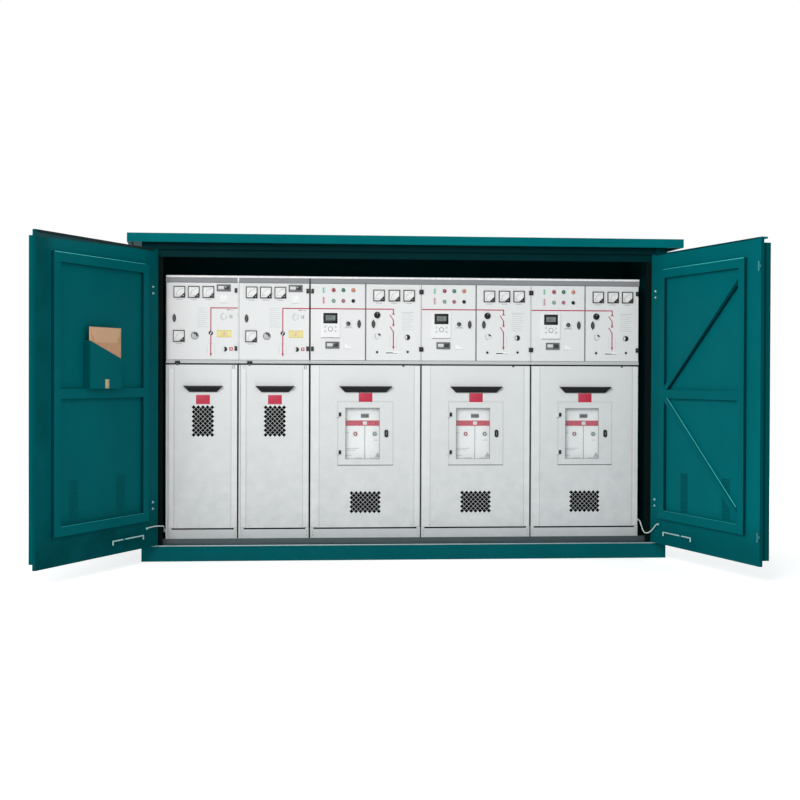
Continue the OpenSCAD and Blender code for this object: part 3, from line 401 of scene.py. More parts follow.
def platedMetal(name, colour, rough=(0.22, 0.4), stretch=(1, 1, 1), metal=1.0):
    finish, tree, shader = newFinish(name)
    fill(tree, shader, {"Base Color": mottled(tree, colour, 0.7, 35, 4, stretch), "Metallic": metal,
                        "Roughness": spread(tree, noise(tree, 180, 3, stretch), *rough)})
    roughen(tree, shader, noise(tree, 500, 2, stretch), 0.00003)
    return finish


def printedFilm(name, colour):  # labels, mimic tape and dial faces
    finish, tree, shader = newFinish(name)
    fill(tree, shader, {"Base Color": mottled(tree, colour, 0.9, 25, 4), "Roughness": 0.45,
                        "Specular IOR Level": 0.25})
    roughen(tree, shader, noise(tree, 1200, 2), 0.00002)
    return finish


def lampLens(name, colour):
    finish, tree, shader = newFinish(name)
    base, ribs = toLinear(*colour), cells(tree, 420)
    fill(tree, shader, {"Base Color": blendColours(tree, ribs, base, darker(base, 0.45)), "Roughness": 0.16,
                        "Coat Weight": 0.5})
    roughen(tree, shader, ribs, 0.0002)
    return finish


def clearPane(name):
    finish, tree, shader = newFinish(name)
    tint = blendColours(tree, noise(tree, 3, 3), toLinear(235, 242, 244), toLinear(220, 232, 236))
    fill(tree, shader, {"Base Color": tint, "Roughness": spread(tree, noise(tree, 5, 4), 0.02, 0.06),
                        "Alpha": 0.06})
    return finish


def kraftPaper(name, dark, light, stain):
    finish, tree, shader = newFinish(name)
    fibre = noise(tree, 90, 5, (1, 1, 0.2), 0.7)
    mixed = blendColours(tree, spread(tree, fibre, 0, 1), toLinear(*dark), toLinear(*light))
    mixed = blendColours(tree, spread(tree, noise(tree, 7, 4), 0, 0.5), mixed, toLinear(*stain))
    fill(tree, shader, {"Base Color": mixed, "Roughness": 0.82, "Specular IOR Level": 0.1})
    roughen(tree, shader, fibre, 0.0003)
    return finish


def foamMat(name):
    finish, tree, shader = newFinish(name)
    pores = cells(tree, 380)
    fill(tree, shader, {"Base Color": blendColours(tree, pores, toLinear(8, 8, 9), toLinear(26, 27, 28)),
                        "Roughness": 0.95, "Specular IOR Level": 0.05})
    roughen(tree, shader, pores, 0.001)
    return finish


def displayGlass(name, colour):
    finish, tree, shader = newFinish(name)
    base = toLinear(*colour)
    rows = tree.nodes.new("ShaderNodeTexWave")
    rows.bands_direction = "Z"
    fill(tree, rows, {"Scale": 1100, "Vector": objectCoords(tree)})
    fill(tree, shader, {"Base Color": blendColours(tree, rows.outputs["Fac"], base, darker(base, 0.86)),
                        "Roughness": 0.14})
    return finish


groundDust = {"amount": 0.04, "low": 0.02, "high": 0.3, "colour": (96, 116, 112)}
# grey speckles that darken the covers towards their foot, fading out at their top
coverFootSpeckle = {"amount": 0.55, "low": 0.2, "high": 1.34, "colour": (160, 166, 170)}
kickDust = {"amount": 0.4, "low": 0.13, "high": 0.25, "colour": (140, 140, 134)}
# painted shade: a dark colour for the posts' stop strips inside the doorway, where they lie in shade
doorwayPaintedShade = {"from": 1.7595, "to": 1.7615, "colour": (14, 22, 22)}
# painted shadow: the tops of the posts darken to black under the roof
underRoofPaintedShadow = {"axis": "Z", "from": 2.15, "to": 2.09, "keep": 0.0}
# painted shade on the left leaf's inner face: darker towards the foot, the free edge and the hinge edge
leftLeafPaintedShade = [
    {"axis": "Z", "from": 0.22, "to": 0.44, "keep": 0.1},
    {"axis": "Y", "from": -2.14, "to": -2.04, "keep": 0.4},
    {"axis": "Y", "from": -0.79, "to": -0.88, "keep": 0.6},
]
# painted shade on the right leaf's inner face: darker towards the foot, the hinge edge and the top
rightLeafPaintedShade = [
    {"axis": "Z", "from": 0.18, "to": 0.42, "keep": 0.4},
    {"axis": "Y", "from": -0.79, "to": -0.9, "keep": 0.65},
    {"axis": "Z", "from": 2.0, "to": 1.0, "keep": 0.8},
]
leafSkin = {"gloss": 0.004, "cloud": 1.4}
whiteSkin = {"gloss": 0.3, "peel": 1400}
brightSkin = {"shade": 0.98, "gloss": 0.2, "peel": 1400}
greySkin = {"gloss": 0.25, "peel": 1400}
rubberSkin = {"rough": (0.6, 0.75), "gloss": 0.15}
sealSkin = {"rough": (0.5, 0.6), "gloss": 0.2}
teal = sprayPaint("tealCoat", (0, 90, 96), gloss=0.006, footSpeckle=groundDust)
# the posts' teal, with painted shade inside the doorway and a painted shadow under the roof
tealPost = sprayPaint("tealPostCoat", (0, 90, 96), gloss=0.006, footSpeckle=groundDust, doorwayShade=doorwayPaintedShade,
                      paintedShades=[underRoofPaintedShadow])
tealDoor = sprayPaint("tealDoorCoat", (0, 104, 110), footSpeckle=groundDust, **leafSkin)
# the left leaf's teal with its painted shade
tealLeft = sprayPaint("tealLeftLeafCoat", (0, 104, 110), paintedShades=leftLeafPaintedShade, leaf=leftLeaf, **leafSkin)
# painted light: a brighter copy of the left leaf's teal, with painted shade of its own
tealRight = sprayPaint("tealRightLeafCoat", (0, 109, 115), paintedShades=rightLeafPaintedShade, leaf=rightLeaf, **leafSkin)
# painted shade: a darker copy of the door teal for the flange strips
tealFlangePaintedShade = sprayPaint("tealFlangePaintedShadeCoat", (0, 80, 85), gloss=0.004)
tealRoof = sprayPaint("tealRoofCoat", (0, 105, 110), gloss=0.012, rough=(0.34, 0.46))
# painted shade: a dark copy of the teal for the lintel and the cross members, which lie in shade
tealPaintedShade = sprayPaint("tealPaintedShadeCoat", (2, 44, 47), gloss=0.02)
# painted highlights: light teal strips along the upper edges of the door frames, and softer ones lower down
tealPaintedHighlight = sprayPaint("tealPaintedHighlightCoat", (84, 226, 226), gloss=0.2, rough=(0.2, 0.3))
softPaintedHighlight = sprayPaint("softPaintedHighlightCoat", (30, 156, 156), gloss=0.1)
# painted shade: a slightly darker teal between the louvre slots
louvreRimPaintedShade = sprayPaint("louvreRimPaintedShade", (0, 94, 99), gloss=0.004)
# painted shade: a dark teal for the frames' flanks and the undersides of their rails
channelPaintedShade = sprayPaint("channelPaintedShadeCoat", (0, 56, 64), gloss=0.006)
# painted shade: a dark strip in the gap between the right leaf's end and its flange strip
flangeGapPaintedShade = sprayPaint("flangeGapPaintedShade", (2, 46, 50), gloss=0.006)
# painted shade: a darker teal on the leaves' end faces, the flange and the pocket's side
leafEndPaintedShade = sprayPaint("leafEndPaintedShadeCoat", (0, 72, 77), gloss=0.004)
# painted shade: a mid teal filling the louvre slots
louvreSlotPaintedShade = sprayPaint("louvreSlotPaintedShadeCoat", (0, 90, 95), gloss=0.004)
panelWhite = sprayPaint("panelCoat", (231, 232, 232), shade=0.965, **whiteSkin)
relayWhite = sprayPaint("relayCoat", (240, 241, 241), **brightSkin)
frontWhite = sprayPaint("breakerCoat", (246, 247, 247), **brightSkin)
coverWhite = sprayPaint("coverCoat", (227, 229, 229), shade=0.965, cloud=1.1, footSpeckle=coverFootSpeckle, **whiteSkin)
kickWhite = sprayPaint("kickCoat", (208, 212, 214), shade=0.93, footSpeckle=kickDust, **greySkin)
headerGrey = sprayPaint("headerCoat", (140, 143, 146), shade=0.94, **greySkin)
sillSteel = platedMetal("sillSteel", (80, 93, 97), rough=(0.45, 0.62), stretch=(1, 6, 6), metal=0.4)
zinc = platedMetal("zincPlate", (214, 218, 220))
# zinc in a brightened cyan white for the door bolts: painted highlight and reflection
zincAndPaintedHighlight = platedMetal("zincAndPaintedHighlight", (190, 240, 240), metal=0.4)
# steel in a brightened cyan white for the stay rods: painted highlight
rodSteelAndPaintedHighlight = platedMetal("rodSteelAndPaintedHighlight", (200, 238, 242), metal=0.2)
shootSteel = platedMetal("shootBoltSteel", (40, 128, 132), metal=0.3)
chrome = platedMetal("chromeRing", (226, 228, 230), rough=(0.1, 0.2))
black = mouldedPlastic("blackMoulding", (25, 27, 29), gloss=0.25)
handleBlack = mouldedPlastic("handleMoulding", (27, 29, 31), rough=(0.28, 0.4), gloss=0.3)
grey = mouldedPlastic("greyMoulding", (106, 108, 110))
latchGrey = mouldedPlastic("latchPlate", (92, 95, 97))
gasketGrey = mouldedPlastic("gasketMoulding", (160, 163, 166))
counterGrey = mouldedPlastic("counterMoulding", (150, 152, 154))
paleGrey = mouldedPlastic("paleMoulding", (206, 208, 210))
white = mouldedPlastic("whiteMoulding", (236, 237, 237), gloss=0.3)
sheath = mouldedPlastic("leadSheath", (224, 235, 232), rough=(0.4, 0.55))
dialWhite = printedFilm("dialFace", (240, 241, 241))
ink = printedFilm("blackInk", (40, 42, 44))
faintInk = printedFilm("faintInk", (188, 191, 193))
mimicRed = printedFilm("mimicTape", (182, 56, 84))
labelRed = printedFilm("redLabel", (198, 56, 80))
labelYellow = printedFilm("yellowLabel", (238, 226, 156))
labelGreen = printedFilm("greenLabel", (62, 138, 110))
labelWhite = printedFilm("whiteLabel", (249, 250, 250))
labelGrey = printedFilm("greyLabel", (221, 223, 224))
redCap = lampLens("redLens", (186, 52, 72))
greenCap = lampLens("greenLens", (20, 136, 98))
amberCap = lampLens("amberLens", (238, 148, 104))
paleGreenCap = mouldedPlastic("paleGreenCap", (136, 174, 156))
paleRedCap = mouldedPlastic("paleRedCap", (188, 108, 124))
# dark rubber for the seams, also used as painted shade in the gaps under the covers and under the inspection
# doors
rubberAndPaintedShade = mouldedPlastic("sealRubberAndPaintedShade", (26, 27, 28), **rubberSkin)
lcd = displayGlass("liquidDisplay", (128, 140, 136))
darkDisplay = displayGlass("darkDisplay", (44, 48, 52))
railGrey = sprayPaint("railCoat", (198, 201, 202), shade=0.94, **greySkin)
splitGrey = mouldedPlastic("splitRubber", (112, 115, 118), **rubberSkin)
seamDark = mouldedPlastic("seamRubber", (52, 54, 56), **rubberSkin)
# painted light: a brighter white than the cabinets' paint, for their top lip
lipPaintedLight = mouldedPlastic("lipPaintedLight", (252, 253, 253), **sealSkin)
sealWhite = mouldedPlastic("whiteSeal", (246, 247, 247), **sealSkin)
pane = clearPane("windowPane")
paper = kraftPaper("kraftPaper", (194, 148, 116), (222, 178, 142), (202, 152, 120))
flapPaper = kraftPaper("kraftFlap", (206, 164, 128), (232, 194, 158), (214, 170, 136))
# painted shade: a near black strip along the top of the left leaf's inner face, under the lip
topPaintedShadeCoat = mouldedPlastic("topPaintedShade", (22, 38, 42), rough=(0.6, 0.75), gloss=0.1)
# painted shade, lighter, fading out along the top of the left leaf
topPaintedShadeFade = sprayPaint("topPaintedShadeFadeCoat", (34, 76, 80), gloss=0.006)
foam = foamMat("filterFoam")
print("finishes made")

# Earth leads, each one tube from a door's lug to the lug beside the row

studsLow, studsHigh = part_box("earth_studs")
lead = {"diameter": 8, "straight": 20, "lug": 14, "finer": 4, "sides": 5}
leftLead = {"start": (204, 247), "end": 200, "bends": [
    (-27, -170, 249), (-17, -150, 250), (-6, -131, 251), (6, -110, 252), (18, -90, 252), (30, -69, 251),
    (42, -49, 250), (52, -29, 248), (61, -9, 246), (67, 10, 243), (70, 29, 240), (70, 48, 236), (70, 67, 231),
    (70, 86, 225), (70, 105, 219), (71, 123, 212), (72, 141, 205)],
    "stillFrom": (70, 60), "movesFrom": (6, -110)}
rightLead = {"start": (167, 253), "end": 255, "bends": [
    (23, -136, 247), (28, -119, 236), (33, -103, 223), (39, -87, 210), (45, -69, 198), (52, -51, 188),
    (58, -31, 181), (64, -11, 178), (68, 10, 178), (70, 31, 182), (71, 51, 190), (72, 70, 201), (72, 88, 214),
    (73, 105, 227), (73, 122, 240), (73, 140, 250)],
    "stillFrom": (71, 50), "movesFrom": (39, -87)}


def studX(side):  # middle of the lug beside the row, in metres
    return (studsLow.x if side > 0 else studsHigh.x) + side * lead["lug"] / 2 * mm


def smoothed(points, finer):  # a smooth curve through the points
    padded = [2 * points[0] - points[1]] + points + [2 * points[-1] - points[-2]]
    curve = []
    for k in range(1, len(padded) - 2):
        before, here, there, after = padded[k - 1:k + 3]
        for step in range(finer):
            t = step / finer
            curve.append(0.5 * (2 * here + (there - before) * t
                                + (2 * before - 5 * here + 4 * there - after) * t ** 2
                                + (3 * here - before - 3 * there + after) * t ** 3))
    return curve + [points[-1]]


def tubeAlong(name, route):
    data = bpy.data.curves.new(name, "CURVE")
    data.dimensions = "3D"
    data.bevel_depth = lead["diameter"] / 2 * mm
    data.bevel_resolution = lead["sides"]
    data.use_fill_caps = True
    spline = data.splines.new("POLY")
    spline.points.add(len(route) - 1)
    for point, place in zip(spline.points, route):
        point.co = (*place, 1)
    curve = bpy.data.objects.new(name + "Curve", data)
    tube = bpy.data.meshes.new_from_object(curve)
    bpy.data.objects.remove(curve)
    tube.materials.clear()
    tube.materials.append(sheath)
    for polygon in tube.polygons:
        polygon.use_smooth = True
    return tube


def addLead(name, values, leaf, jointName, side):
    pinX, pinY, _ = joints[jointName]["pos_m"]

    def fromPin(inward, back, height):
        return Vector((pinX + side * inward * mm, pinY + back * mm, height * mm))

    s, height = values["start"]
    out, straight = leafFit["thick"] + lead["lug"] / 2, lead["straight"]
    points = [leaf @ Vector((s - run, height, out)) for run in (0, straight)]
    points += [fromPin(*bend) for bend in values["bends"]]
    points += [Vector((studX(side), studsLow.y - run * mm, values["end"] * mm)) for run in (straight, 0)]
    route = smoothed(points, lead["finer"])
    made = bpy.data.objects.new(name, tubeAlong(name, route))
    bpy.context.scene.collection.objects.link(made)
    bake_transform(made)
    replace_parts(made, jointName.replace("door_hinge", "earth_lead"))


addLead("leftEarthLead", leftLead, leftLeaf, "left_door_hinge", 1)
addLead("rightEarthLead", rightLead, rightLeaf, "right_door_hinge", -1)

# Finishes on the CAD pieces that stay as they are

dressed = {
    teal: ["base_front_beam", "base_rear_beam", "base_end_beams", "left_wall", "right_wall", "rear_wall",
           "hinge_plates"],
    # the posts carry painted shade inside the doorway and a painted shadow under the roof
    tealPost: ["left_post", "right_post"],
    # the leaves carry painted shade on their inner faces; the right leaf's teal is a brighter copy, painted
    # light
    tealLeft: ["left_door_leaf"],
    tealRight: ["right_door_leaf"],
    tealDoor: ["left_door_frame", "left_door_hinges", "document_pocket", "left_door_fittings",
               "right_door_frame", "right_door_hinges", "right_door_fittings"],
    # painted shade on the flange strips
    tealFlangePaintedShade: ["left_door_strip", "right_door_strip"],
    tealRoof: ["roof"],
    # painted shade on the lintel and the cross members
    tealPaintedShade: ["lintel", "base_cross_members"],
    sillSteel: ["floor_plates", "panel_rails"],
    panelWhite: ["cabinet_1", "cabinet_2", "cabinet_3", "cabinet_4", "cabinet_5", "instrument_doors"],
    frontWhite: ["breaker_fronts"],
    relayWhite: ["protection_relays"],
    coverWhite: ["narrow_covers", "wide_covers", "vent_grilles", "inspection_door_3", "inspection_door_4",
                 "inspection_door_5", "inspection_hinges"],
    kickWhite: ["kick_plates"],
    headerGrey: ["header_bands"],
    handleBlack: ["cover_handles"],
    black: ["meters"],
    grey: ["controllers"],
    zinc: ["earth_studs"],
    rodSteelAndPaintedHighlight: ["left_stay_rod", "right_stay_rod"],
    shootSteel: ["shoot_bolts"],
    pane: ["inspection_pane_3", "inspection_pane_4", "inspection_pane_5"],
}
for finish, names in dressed.items():
    for name in names:
        nodes[name].data.materials.clear()
        nodes[name].data.materials.append(finish)
print("CAD pieces dressed")

# Meters: dial, scale, pointer and the dark corner over the movement

meter = {"side": 70, "floor": 5.5, "paper": 6.2, "print": 6.5, "pivot": 8, "scale": 50, "sweep": (94, 176),
         "line": 1, "ticks": 11, "tick": (0.8, 3.5, 6), "rest": 174, "pointer": 1.1, "corner": 31, "cap": 9,
         "caption": (44, 5, 54), "narrow": [(0.179, 0.88), (0.38, 0.88), (0.585, 0.88), (0.173, 0.307)],
         "wide": [(0.23, 0.854), (0.511, 0.854), (0.784, 0.854)]}


def addMeter(mesh, place):
    half, scale, sheet, printed = meter["side"] / 2, meter["scale"], meter["paper"], meter["print"]
    pivot = at(place, half - meter["pivot"], meter["pivot"] - half)
    start, end = meter["sweep"]
    thin, short, long = meter["tick"]
    join(mesh, block(-half, half, -half, half, meter["floor"], sheet), place, 0)
    join(mesh, arc(scale, start, end, meter["line"], sheet, printed), pivot, 1)
    for k in range(meter["ticks"]):
        turn = start + (end - start) * k / (meter["ticks"] - 1)
        reach = short if k % 5 else long
        join(mesh, strip(*spoke(turn, scale, scale + reach), thin, sheet, printed), pivot, 1)
    join(mesh, strip(*spoke(meter["rest"], 0, scale), meter["pointer"], printed + 0.4, printed + 1), pivot, 2)
    corner, cap = meter["corner"], meter["cap"]
    join(mesh, prism([(half, -half), (half, corner - half), (half - corner, -half)], sheet, cap), place, 1)
    join(mesh, turned([(0, cap), (2.6, cap), (2.2, cap + 0.9), (0, cap + 1)], 12), pivot, 3)
    wide, high, drop = meter["caption"]
    join(mesh, slab(0, -drop, wide, high, 0, 0.5), place, 4)


dials = bmesh.new()
for k in allPanels:
    for share in meter[kind(k)]:
        addMeter(dials, onDoor(k, int(k in widePanels), share))
makePiece("meterDials", dials, [dialWhite, ink, labelRed, zinc, faintInk])
print("meters done")

# Signal lamps and push buttons on the wide panels

lamp = {"bezel": 15, "lens": 13.2, "seat": 4.5, "shoulder": 8, "height": 16, "clear": 0.3,
        "dome": (0.4, 0.8, 1.15, 1.4), "across": (0.419, 0.598, 0.78), "up": 0.92}
button = {"collar": 14, "collarHigh": 6, "cap": 10.4, "edge": 1.2, "height": 12, "up": 0.779}
lampFinishes = [black, chrome, redCap, greenCap, amberCap, paleGreenCap, paleRedCap]


def addLamp(mesh, place, finish):
    bezel, inner, seat, high = lamp["bezel"], lamp["lens"], lamp["seat"], lamp["height"]
    rim = [(0, 0), (bezel, 0), (bezel, 4), (bezel - 1.2, 5.2), (inner, 5.2), (inner, seat), (0, seat)]
    join(mesh, turned(rim), place, 1)
    radius, shoulder = inner - lamp["clear"], lamp["shoulder"]
    dome = [(0, seat), (radius, seat), (radius, shoulder)]
    dome += [(radius * math.cos(t), shoulder + (high - shoulder) * math.sin(t)) for t in lamp["dome"]]
    join(mesh, turned(dome + [(0, high)]), place, finish)


def addButton(mesh, place, finish):
    cap, edge, high = button["cap"], button["edge"], button["height"]
    join(mesh, ring(cap + edge / 2, button["collar"], 0, button["collarHigh"], edge), place, 1)
    top = [(cap, high - edge), (cap - edge, high), (cap * 0.6, high - edge / 2), (0, high - 1)]
    join(mesh, turned([(0, 0), (cap, 0)] + top), place, finish)


lamps = bmesh.new()
for k in widePanels:
    for share, lensFinish, capFinish in zip(lamp["across"], (2, 3, 4), (5, 6, 0)):
        addLamp(lamps, onDoor(k, 0, (share, lamp["up"])), lensFinish)
        addButton(lamps, onDoor(k, 0, (share, button["up"])), capFinish)
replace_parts(makePiece("lampsAndButtons", lamps, lampFinishes), "lamps_and_buttons")
print("lamps and buttons done")

# Protection relays: screen, its frame, key rims and a row of signal dots

relay = {"at": (0.362, 0.466), "wide": 132, "high": 180, "out": 9, "screen": (100, 74, 8), "sunk": 4.5,
         "rim": 16, "foot": 22, "readings": (3, 10, 3), "key": (59, 16), "small": (36, 15, 5.5),
         "dots": (6, 14, 86)}


def addRelayFace(mesh, place):
    wide, high, drop = relay["screen"]
    rim, out, sunk = relay["rim"], relay["out"], relay["sunk"]
    half, low, top = wide / 2, -relay["high"] / 2, relay["high"] / 2 - drop
    glassLow, glassTop = top - high + relay["foot"], top - rim
    for u0, u1, v0, v1 in ((-half, half, glassTop, top), (-half, half, top - high, glassLow),
                           (-half, rim - half, glassLow, glassTop), (half - rim, half, glassLow, glassTop)):
        join(mesh, block(u0, u1, v0, v1, sunk, out + 1.5, 0.8), place, 0)
    join(mesh, block(rim - half, half - rim, glassLow, glassTop, sunk, sunk + 1), place, 1)
    count, step, tall = relay["readings"]
    for k in range(count):  # rows of readings on the screen
        v, end = glassTop - 9 - step * k, half - rim - 12 - 9 * (k % 2)
        join(mesh, block(rim - half + 8, end, v, v + tall, sunk + 1, sunk + 1.2), place, 2)
    up, radius = relay["key"]
    key = at(place, 0, low + up)
    join(mesh, ring(radius - 2.5, radius + 1, out, out + 3.6, 0.8), key, 3)
    across, rise, small = relay["small"]
    for du in (-across, across):
        for dv in (-rise, rise):
            join(mesh, ring(small - 1.2, small + 0.6, out, out + 3.4, 0.4, 16), at(key, du, dv), 3)
    count, step, up = relay["dots"]
    for k in range(count):
        dot = turned([(0, out), (2, out), (1.4, out + 1.2), (0, out + 1.5)], 10)
        join(mesh, dot, at(place, (k - (count - 1) / 2) * step, low + up), 4)
    join(mesh, slab(0, low - 1.4, relay["wide"], 2, 0, out - 6), place, 5)


relays = bmesh.new()
for k in widePanels:
    addRelayFace(relays, onDoor(k, 0, relay["at"]))
makePiece("relayFaces", relays, [black, lcd, darkDisplay, grey, faintInk, counterGrey])
print("relays done")

# Controllers: two displays in the frame and three keys

controller = {"narrow": (0.802, 0.936), "wide": (0.399, 0.198), "size": (85, 36), "floor": 4, "out": 7,
              "keys": (-32, -20, -8), "key": (6, 4, 6.5)}
controls = bmesh.new()
for k in allPanels:
    place, floor, out = onDoor(k, 0, controller[kind(k)]), controller["floor"], controller["out"]
    halfU, halfV = (side / 2 for side in controller["size"])
    join(controls, block(-halfU, halfU, -halfV, halfV, floor, floor + 0.8), place, 0)
    join(controls, block(4 - halfU, 2, 10 - halfV, halfV - 5, floor, out, 0.8), place, 1)
    join(controls, block(6, halfU - 4, 7 - halfV, halfV - 5, floor, out, 0.8), place, 2)
    wide, high, top = controller["key"]
    for u in controller["keys"]:
        join(controls, slab(u, 5 - halfV, wide, high, floor, top, 0.6), place, 3)
makePiece("controllerFaces", controls, [grey, labelGrey, darkDisplay, paleGrey])
print("controllers done")

# Rotary switches, key switches and the shuttered sockets for the operating lever

knob = {"radius": 23, "base": 4, "height": 22, "bar": (10, 38), "marks": 9, "mark": (1.4, 0.4),
        "narrowKey": (0.396, 0.313), "narrowCover": (0.809, 0.562), "narrowSocket": (0.821, 0.137),
        "wideKey": (0.689, 0.481), "wideKnob": (0.199, 0.596), "wideCover": (0.222, 0.32),
        "wideSocket": (0.758, 0.305), "keyRadius": {"narrow": 27, "wide": 15}, "keyPlate": (54, 1.2),
        "pinholes": [(473, 1305), (690, 1307)], "pinhole": (6.2, 8.6)}


def addKnob(mesh, place):
    radius, base, top = knob["radius"], knob["base"], knob["height"]
    wide, long = knob["bar"]
    plate = [(0, 0), (radius, 0), (radius, base - 1), (radius - 1, base), (0, base)]
    skirt = [(0, base), (radius - 3, base), (radius - 4, base + 8), (radius - 6, base + 9.5), (0, base + 9.5)]
    for profile in (plate, skirt):
        join(mesh, turned(profile, 36), place, 0)
    join(mesh, slab(0, 0, wide, long, base + 9, top, 1.6), place, 0)
    join(mesh, block(-0.8, 0.8, 4, long / 2 - 2, top, top + 0.3), place, 1)


def addKeySwitch(mesh, place, radius, rim, barrel):
    base = knob["base"]
    seat, top = base + 1.5, base + 8
    join(mesh, ring(radius * 0.8, radius, 0, base + 2, 1.2, 36), place, rim)
    join(mesh, disc(radius * 0.78, 0, seat, 36), place, barrel)
    join(mesh, arc(radius * 0.5, -20, 120, radius * 0.5, seat, base + 2.6, 18), place, 0)
    stem = [(0, base), (radius * 0.36, base), (radius * 0.36, top - 1), (radius * 0.3, top), (0, top)]
    join(mesh, turned(stem, 24), place, barrel)
    join(mesh, slab(0, 0, 2, radius * 0.44, top, top + 0.4), place, 0)


def addMarks(mesh, place, start, end, inner=1, outer=6):  # a row of marks round a socket
    radius, (wide, thick) = knob["radius"], knob["mark"]
    for k in range(knob["marks"]):
        turn = start + (end - start) * k / (knob["marks"] - 1)
        join(mesh, strip(*spoke(turn, radius + inner, radius + outer), wide, 0, thick), place, 4)


def addLeverCover(mesh, place, start, end, dark=None):  # a cap over a lever socket, with a scale beside it
    radius, base = knob["radius"] - 2, knob["base"]
    cap = [(0, 0), (radius, 0), (radius, base - 1), (radius - 1.5, base), (0, base + 0.6)]
    join(mesh, turned(cap, 36), place, 3)
    join(mesh, arc(radius + 1.6, start, end, 1.6, 0, 1, 16), place, 2)
    addMarks(mesh, place, start + 10, end - 10)
    if dark:
        join(mesh, arc(radius * 0.6, *dark, radius * 0.5, base, base + 1.2, 16), place, 0)


def addLeverSocket(mesh, place, start, end, rim):  # a half open lever socket
    radius, base = knob["radius"] - 4, knob["base"]
    bore = radius - 3
    join(mesh, ring(bore, radius, 0, base, 1, 36), place, rim)
    join(mesh, disc(bore - 0.2, 0, 1), place, 0)
    join(mesh, arc(bore * 0.62, 118, 242, bore * 0.74, 1, base - 0.5, 16), place, 3)
    addMarks(mesh, place, start, end)


switchFinishes = [black, white, grey, white, faintInk, paleGrey, counterGrey]
switches = bmesh.new()
for k in narrowPanels:
    addKeySwitch(switches, onDoor(k, 0, knob["narrowKey"]), knob["keyRadius"]["narrow"], 6, 5)
    addLeverCover(switches, onDoor(k, 0, knob["narrowCover"]), 95, 265)
    addLeverSocket(switches, onDoor(k, 0, knob["narrowSocket"]), 95, 265, 3)
for k in widePanels:
    place, (side, thick) = onDoor(k, 0, knob["wideKey"]), knob["keyPlate"]
    join(switches, slab(0, 0, side, side, 0, thick, 0.4), place, 3)
    addKeySwitch(switches, at(place, 0, 0, thick), knob["keyRadius"]["wide"], 0, 2)
    join(switches, block(-21, 21, -25, -22.5, thick, thick + 0.6), place, 2)
    addKnob(switches, onDoor(k, 1, knob["wideKnob"]))
    addLeverCover(switches, onDoor(k, 1, knob["wideCover"]), 120, 260, (15, 100))
    addLeverSocket(switches, onDoor(k, 1, knob["wideSocket"]), 120, 240, 0)
    for spot in knob["pinholes"]:
        place, (bore, outer) = at(onPanel(k), *spot), knob["pinhole"]
        join(switches, ring(bore, outer, 0, 2.5, 0.8, 20), place, 0)
        join(switches, disc(bore - 0.2, 0, 0.6, 16), place, 0)
        addMarks(switches, place, 60, 250, -9, -5)
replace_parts(makePiece("switchesAndSockets", switches, switchFinishes), "switch_knobs")
print("switches done")

# Latches and hinge blocks of the instrument doors

latch = {"size": (25, 58), "plate": (13, 40), "slot": (3, 20), "out": 9, "rise": 1.2,
         "narrow": [(0.108, 0.539)], "wide": [(0.887, 0.478), (0.129, 0.478)]}
latchFinishes = [black, latchGrey]
hingeBlock = {"wide": 18, "seam": 30, "high": 31, "out": 12, "aside": 17, "levels": (0.148, 0.904), "pin": 4}


def lens(wide, high, o0, o1, steps=14):  # an outline with pointed ends
    rises = [2 * k / steps - 1 for k in range(steps)]
    right = [(wide / 2 * (1 - t * t) ** 0.8, high / 2 * t) for t in rises]
    return prism(right + [(-u, -v) for u, v in right], o0, o1)


def addLatch(mesh, place):
    out, rise = latch["out"], latch["rise"]
    join(mesh, lens(*latch["size"], 0, out), place, 0)
    join(mesh, lens(*latch["plate"], out, out + rise), place, 1)
    join(mesh, slab(0, 0, *latch["slot"], out + rise, out + rise + 0.4), place, 0)


def addHingeBlock(mesh, place, wide):
    out, pin = hingeBlock["out"], hingeBlock["pin"]
    join(mesh, slab(0, 0, wide, hingeBlock["high"], 0, out, 1.6), place, 0)
    join(mesh, turned([(0, out), (pin, out), (pin - 0.6, out + 0.8), (0, out + 0.8)], 16), place, 1)


latches, hingeBlocks = bmesh.new(), bmesh.new()
for k in allPanels:
    wide, aside = panelWidth(k), hingeBlock["aside"]
    for half, share in enumerate(latch[kind(k)]):
        addLatch(latches, onDoor(k, half, share))
    for level in hingeBlock["levels"]:
        v = doorSpot(k, 0, (0, level))[1]
        if k == widePanels[0]:
            addHingeBlock(hingeBlocks, at(onPanel(k), aside, v), hingeBlock["wide"])
        if k in widePanels[:-1]:  # one block across the seam
            addHingeBlock(hingeBlocks, at(onPanel(k), wide, v), hingeBlock["seam"])
        else:
            addHingeBlock(hingeBlocks, at(onPanel(k), wide - aside, v), hingeBlock["wide"])
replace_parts(makePiece("panelLatches", latches, latchFinishes), "panel_latches")
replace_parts(makePiece("panelHingeBlocks", hingeBlocks, latchFinishes), "panel_hinges")
print("latches and hinge blocks done")

# Mimic diagram: tape lines and switch symbols

mimic = {"tape": 7.5, "thick": 0.6, "level": 1607, "arrow": (17, 24)}
narrowMimic = {"u": 310, "tip": 1268, "switch": (1432, 15.5, 3), "dots": (26, 1292, 5, 12), "edge": 4}
wideMimic = {"u": 588, "tip": 1322, "blade": (40, 34), "isolator": 1570, "breaker": 1488, "split": 392.5,
             "gap": 4, "dots": (24, 1345, 6, 14), "cross": 8}


def addLine(mesh, place, start, end, finish=0, width=None):
    join(mesh, strip(start, end, width or mimic["tape"], 0, mimic["thick"]), place, finish)


def addArrow(mesh, place, u, tip):
    half, long = mimic["arrow"][0] / 2, mimic["arrow"][1]
    join(mesh, prism([(u, tip), (u + half, tip + long), (u - half, tip + long)], 0, mimic["thick"]), place, 0)


